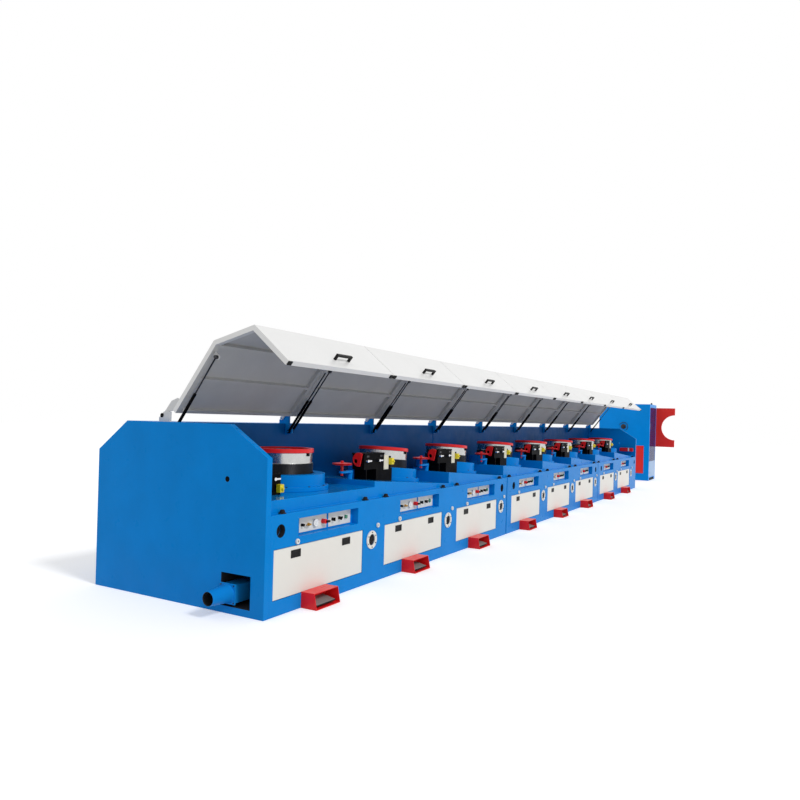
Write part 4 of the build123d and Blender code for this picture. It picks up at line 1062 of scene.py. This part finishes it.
def make_hoods():
    """Folded hoods, white outside and grey inside, with their handles and lip pads."""
    lines = hood_lines()
    lip = opened(*HOOD_CLOSED_PROFILE[3])
    out = lines[2][1]
    down = (-out[1], out[0])
    for number in BLOCKS:
        node = f"hood_{number}"
        low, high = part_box(node)

        def hood_rule(centre, normal, low=low, high=high):
            if abs(normal.x) > FACING and min(centre.x - low.x, high.x - centre.x) < 0.002:
                return 0
            for index, ((y, z), (ny, nz)) in enumerate(lines):
                off = (centre.y - y) * ny + (centre.z - z) * nz
                if off > 0.004:
                    return 2 if index == 2 else 3
                if abs(off) < 0.0015 and normal.y * ny + normal.z * nz > FACING:
                    return 0
            if normal.y * down[0] + normal.z * down[1] > FACING:
                if (centre.y - lip[0]) * down[0] + (centre.z - lip[1]) * down[1] > -0.004:
                    return 0
            top, side = lines[0]
            deep = (centre.y - top[0]) * side[0] + (centre.z - top[1]) * side[1] < -0.046
            if deep and min(centre.x - low.x, high.x - centre.x) < 0.052 and centre.z > 1.9:
                return 3
            return 1

        dress(
            f"folded_hood_{number}", [node], [hood_white(), hood_inside_grey(), black_plastic(), hinge_grey()],
            hood_rule, width=0.002,
        )
        # Rubber pads at both ends of the lip's rim
        pad = bmesh.new()
        slope = Matrix(((1, 0, 0), (0, down[0], -out[0]), (0, down[1], -out[1])))
        for x in (low.x + 0.03, high.x - 0.03):
            reach = (down[0] * 0.004 - out[0] * 0.022, down[1] * 0.004 - out[1] * 0.022)
            block(pad, (x, lip[0] + reach[0], lip[1] + reach[1]), (0.05, 0.012, 0.036), slope)
        new_piece(f"lip_pads_{number}", pad, rubber(), node, width=0.002)


def make_struts():
    """Gas struts: black tubes with a collar, and dark rods."""
    for number in BLOCKS:
        dress(
            f"gas_tubes_{number}", [f"strut_tubes_{number}"], [black_paint()], width=0.0015
        )
        dress(f"gas_rods_{number}", [f"strut_rods_{number}"], [dark_steel()], width=0.0)


def make_fittings():
    """Hinge brackets, hub caps, bumpers and the exit guide."""
    low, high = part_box("hood_brackets")

    def bracket_rule(centre, normal):
        return 1 if centre.x < low.x + 0.06 and centre.z > 1.5 else 0

    dress(
        "painted_brackets", ["hood_brackets"], [blue_paint(), hinge_grey()], bracket_rule,
        width=0.0015,
    )
    caps = bmesh.new()
    turned(caps, HUB_CAP, at(low.x - CONTACT_GAP, *HOOD_PIVOT, FACE_ENTRY), sides=24)
    turned(caps, HUB_CAP, at(high.x + CONTACT_GAP, *HOOD_PIVOT, FACE_EXIT), sides=24)
    new_piece("hinge_hubs", caps, black_paint(), "root")
    dress("rubber_bumpers", ["bumpers"], [rubber()], width=0.002)

    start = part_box("exit_guide")[0]
    stripe = (start.y + 0.088, start.y + 0.12)

    def guide_rule(centre, normal):
        return 1 if stripe[0] < centre.y < stripe[1] else 0

    dress(
        "painted_exit_guide", ["exit_guide"], [red_paint(), door_white()], guide_rule,
        width=0.003, cuts=[((0, edge, 0), (0, 1, 0)) for edge in stripe],
    )


def make_takeup():
    """The take-up stand: housing, tinted window, guards, hub and lamp."""
    dress("takeup_housing", ["takeup_cabinet"], [stand_blue()], width=0.006)

    def pane_rule(centre, normal):
        return 1 if centre.z < PANE_SPLIT else 0

    dress(
        "takeup_pane", ["takeup_window"], [tinted_sheet(), pale_blue()], pane_rule,
        width=0.001, cuts=[((0, 0, PANE_SPLIT), (0, 0, 1))],
    )
    dress("takeup_guards", ["takeup_guard"], [stand_red()], width=0.004)
    hub = bmesh.new()
    turned(hub, STAND_HUB, at(TAKEUP_X - CONTACT_GAP, *TAKEUP_HUB, FACE_ENTRY), sides=40)
    new_piece("takeup_hub", hub, dark_steel(), "root")
    arc = []
    for k in range(19):
        a = radians(-60 + 12 * k)
        y, z = TAKEUP_HUB[0] - TAKEUP_TRACK_RADIUS * cos(a), TAKEUP_HUB[1] + TAKEUP_TRACK_RADIUS * sin(a)
        arc.append((TAKEUP_X - 0.007, y, z))
    tube("takeup_arc_track", arc, 0.0065, dark_steel(), "root")
    lamp = bmesh.new()
    low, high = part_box("takeup_cabinet")
    turned(lamp, STAND_LAMP, at(low.x + 0.55, low.y + 0.06, high.z + CONTACT_GAP), sides=24)
    new_piece("takeup_lamp", lamp, dark_steel(), "root")
    plinth = bmesh.new()
    block(plinth, (low.x + 0.5, low.y - 0.004, 0.05), (0.7, 0.006, 0.07))
    new_piece("takeup_plinth", plinth, black_paint(), "root", width=0.001)


# Stage

CAMERA_PLACE = (-4.21124, -3.61206, 1.625)
CAMERA_YAW = radians(29.7061)
CAMERA_PITCH = radians(0.1456)
CAMERA_ROLL = radians(1.6037)
CAMERA_FOCAL = 687.9764
CAMERA_CENTRE = (401.5758, 418.0695)
PICTURE = 800


def make_camera():
    """The camera that was fitted to the photograph."""
    level = cos(CAMERA_PITCH)
    ahead = Vector((cos(CAMERA_YAW) * level, sin(CAMERA_YAW) * level, sin(CAMERA_PITCH)))
    right = Vector((sin(CAMERA_YAW), -cos(CAMERA_YAW), 0.0))
    up = right.cross(ahead)
    side = cos(CAMERA_ROLL) * right + sin(CAMERA_ROLL) * up
    top = -sin(CAMERA_ROLL) * right + cos(CAMERA_ROLL) * up
    data = bpy.data.cameras.new("Photograph view")
    data.sensor_width = 36.0
    data.lens = CAMERA_FOCAL / PICTURE * data.sensor_width
    data.shift_x = (PICTURE / 2 - CAMERA_CENTRE[0]) / PICTURE
    data.shift_y = (CAMERA_CENTRE[1] - PICTURE / 2) / PICTURE
    data.clip_end = 200.0
    camera = link("Photograph view", data)
    turn = Matrix((side, top, -ahead)).transposed().to_4x4()
    camera.matrix_world = Matrix.Translation(CAMERA_PLACE) @ turn
    bpy.context.scene.camera = camera


def seen_directly(tree):
    """A node whose value is 1 for rays from the camera, from gloss and through glass."""
    path = add(tree, "ShaderNodeLightPath")
    first = add(tree, "ShaderNodeMath", operation="MAXIMUM")
    second = add(tree, "ShaderNodeMath", operation="MAXIMUM")
    join(
        tree,
        (path, "Is Camera Ray", first, 0),
        (path, "Is Glossy Ray", first, 1),
        (first, "Value", second, 0),
        (path, "Is Transmission Ray", second, 1),
    )
    return second


def make_world(strength):
    """A world that lights with the given strength and is seen as white."""
    world = bpy.data.worlds.new("Studio")
    world.use_nodes = True
    bpy.context.scene.world = world
    tree = world.node_tree
    tree.nodes.clear()
    light = add(tree, "ShaderNodeBackground", Color=(1, 1, 1, 1), Strength=strength)
    white = add(tree, "ShaderNodeBackground", Color=(1, 1, 1, 1), Strength=1.0)
    mix = add(tree, "ShaderNodeMixShader")
    end = add(tree, "ShaderNodeOutputWorld")
    join(
        tree,
        (seen_directly(tree), "Value", mix, "Fac"),
        (light, "Background", mix, 1),
        (white, "Background", mix, 2),
        (mix, "Shader", end, "Surface"),
    )


def make_floor():
    """A wide floor that is seen as white and throws less light."""
    bm = bmesh.new()
    bmesh.ops.create_grid(bm, x_segments=2, y_segments=2, size=70.0)
    bmesh.ops.translate(bm, verts=bm.verts, vec=(7.0, 0.0, -0.0005))
    mesh = bpy.data.meshes.new("studio_floor")
    bm.to_mesh(mesh)
    bm.free()
    floor = link("studio_floor", mesh)
    material = bpy.data.materials.new("Studio floor")
    material.use_nodes = True
    tree = material.node_tree
    tree.nodes.clear()
    plain = add(tree, "ShaderNodeBsdfDiffuse", Color=(0.8, 0.8, 0.8, 1))
    bright = add(tree, "ShaderNodeBsdfDiffuse", Color=(0.95, 0.95, 0.95, 1))
    lift = add(tree, "ShaderNodeEmission", Color=(1, 1, 1, 1), Strength=0.25)
    both = add(tree, "ShaderNodeAddShader")
    mix = add(tree, "ShaderNodeMixShader")
    end = add(tree, "ShaderNodeOutputMaterial")
    join(
        tree,
        (bright, "BSDF", both, 0),
        (lift, "Emission", both, 1),
        (seen_directly(tree), "Value", mix, "Fac"),
        (plain, "BSDF", mix, 1),
        (both, "Shader", mix, 2),
        (mix, "Shader", end, "Surface"),
    )
    mesh.materials.append(material)


def make_lamp(name, aim, strength, softness):
    """A sun lamp that shines along aim."""
    data = bpy.data.lights.new(name, "SUN")
    data.energy = strength
    data.angle = softness
    lamp = link(name, data)
    lamp.rotation_mode = "QUATERNION"
    lamp.rotation_quaternion = Vector(aim).to_track_quat("-Z", "Y")


def make_stage():
    """The camera, the world, the floor and the key light."""
    settings = bpy.context.scene.wire_drawing
    make_camera()
    make_world(settings.sky_strength)
    make_floor()
    make_lamp("Key light", (0.12, 0.74, -0.66), settings.key_strength, radians(12))
    bpy.context.scene.view_settings.view_transform = "Standard"


# The add-on

class WireDrawingSettings(PropertyGroup):
    """Light levels that a user may change."""

    sky_strength: FloatProperty(
        name="Sky strength", description="Light from all round the machine",
        default=0.62, min=0.0, max=3.0,
    )
    key_strength: FloatProperty(
        name="Key light", description="Strength of the lamp in front of the machine",
        default=1.35, min=0.0, max=10.0,
    )


class WIREDRAW_OT_base(Operator):
    """Paint the end plates, base frames, rear housings and rear covers"""

    bl_idname = "wiredraw.base"
    bl_label = "Base and housings"

    def execute(self, context):
        make_base()
        make_doors()
        return {"FINISHED"}


class WIREDRAW_OT_controls(Operator):
    """Make the control plates with their knobs, the vents and the duct"""

    bl_idname = "wiredraw.controls"
    bl_label = "Controls and vents"

    def execute(self, context):
        make_controls()
        make_vents()
        make_duct()
        return {"FINISHED"}


class WIREDRAW_OT_blocks(Operator):
    """Make the drawing blocks, die boxes and wire guides"""

    bl_idname = "wiredraw.blocks"
    bl_label = "Drawing blocks"

    def execute(self, context):
        make_blocks()
        make_die_boxes()
        make_guides()
        return {"FINISHED"}


class WIREDRAW_OT_hoods(Operator):
    """Make the hoods with their struts, brackets and bumpers"""

    bl_idname = "wiredraw.hoods"
    bl_label = "Hoods"

    def execute(self, context):
        make_hoods()
        make_struts()
        make_fittings()
        return {"FINISHED"}


class WIREDRAW_OT_ends(Operator):
    """Make the pedals and the take-up stand"""

    bl_idname = "wiredraw.ends"
    bl_label = "Pedals and take-up"

    def execute(self, context):
        make_pedals()
        make_takeup()
        return {"FINISHED"}


class WIREDRAW_OT_stage(Operator):
    """Make the floor, the light and the camera"""

    bl_idname = "wiredraw.stage"
    bl_label = "Stage"

    def execute(self, context):
        make_stage()
        return {"FINISHED"}


OPERATORS = (
    WIREDRAW_OT_base,
    WIREDRAW_OT_controls,
    WIREDRAW_OT_blocks,
    WIREDRAW_OT_hoods,
    WIREDRAW_OT_ends,
    WIREDRAW_OT_stage,
)


class WIREDRAW_PT_panel(Panel):
    """Lists the settings and the pieces of the machine"""

    bl_idname = "WIREDRAW_PT_panel"
    bl_label = "Wire drawing machine"
    bl_space_type = "VIEW_3D"
    bl_region_type = "UI"
    bl_category = "Wire Drawing"

    def draw(self, context):
        settings = context.scene.wire_drawing
        for name in WireDrawingSettings.__annotations__:
            self.layout.prop(settings, name)
        for operator in OPERATORS:
            self.layout.operator(operator.bl_idname)


CLASSES = (WireDrawingSettings, *OPERATORS, WIREDRAW_PT_panel)


def register():
    """Register the classes and attach the settings to the scene."""
    for item in CLASSES:
        bpy.utils.register_class(item)
    bpy.types.Scene.wire_drawing = PointerProperty(type=WireDrawingSettings)


def unregister():
    """Detach the settings and unregister the classes."""
    del bpy.types.Scene.wire_drawing
    for item in reversed(CLASSES):
        bpy.utils.unregister_class(item)


def main():
    """Make every piece and the stage."""
    register()
    bpy.ops.wiredraw.base()
    bpy.ops.wiredraw.controls()
    bpy.ops.wiredraw.blocks()
    bpy.ops.wiredraw.hoods()
    bpy.ops.wiredraw.ends()
    bpy.ops.wiredraw.stage()


if __name__ == "__main__":
    main()
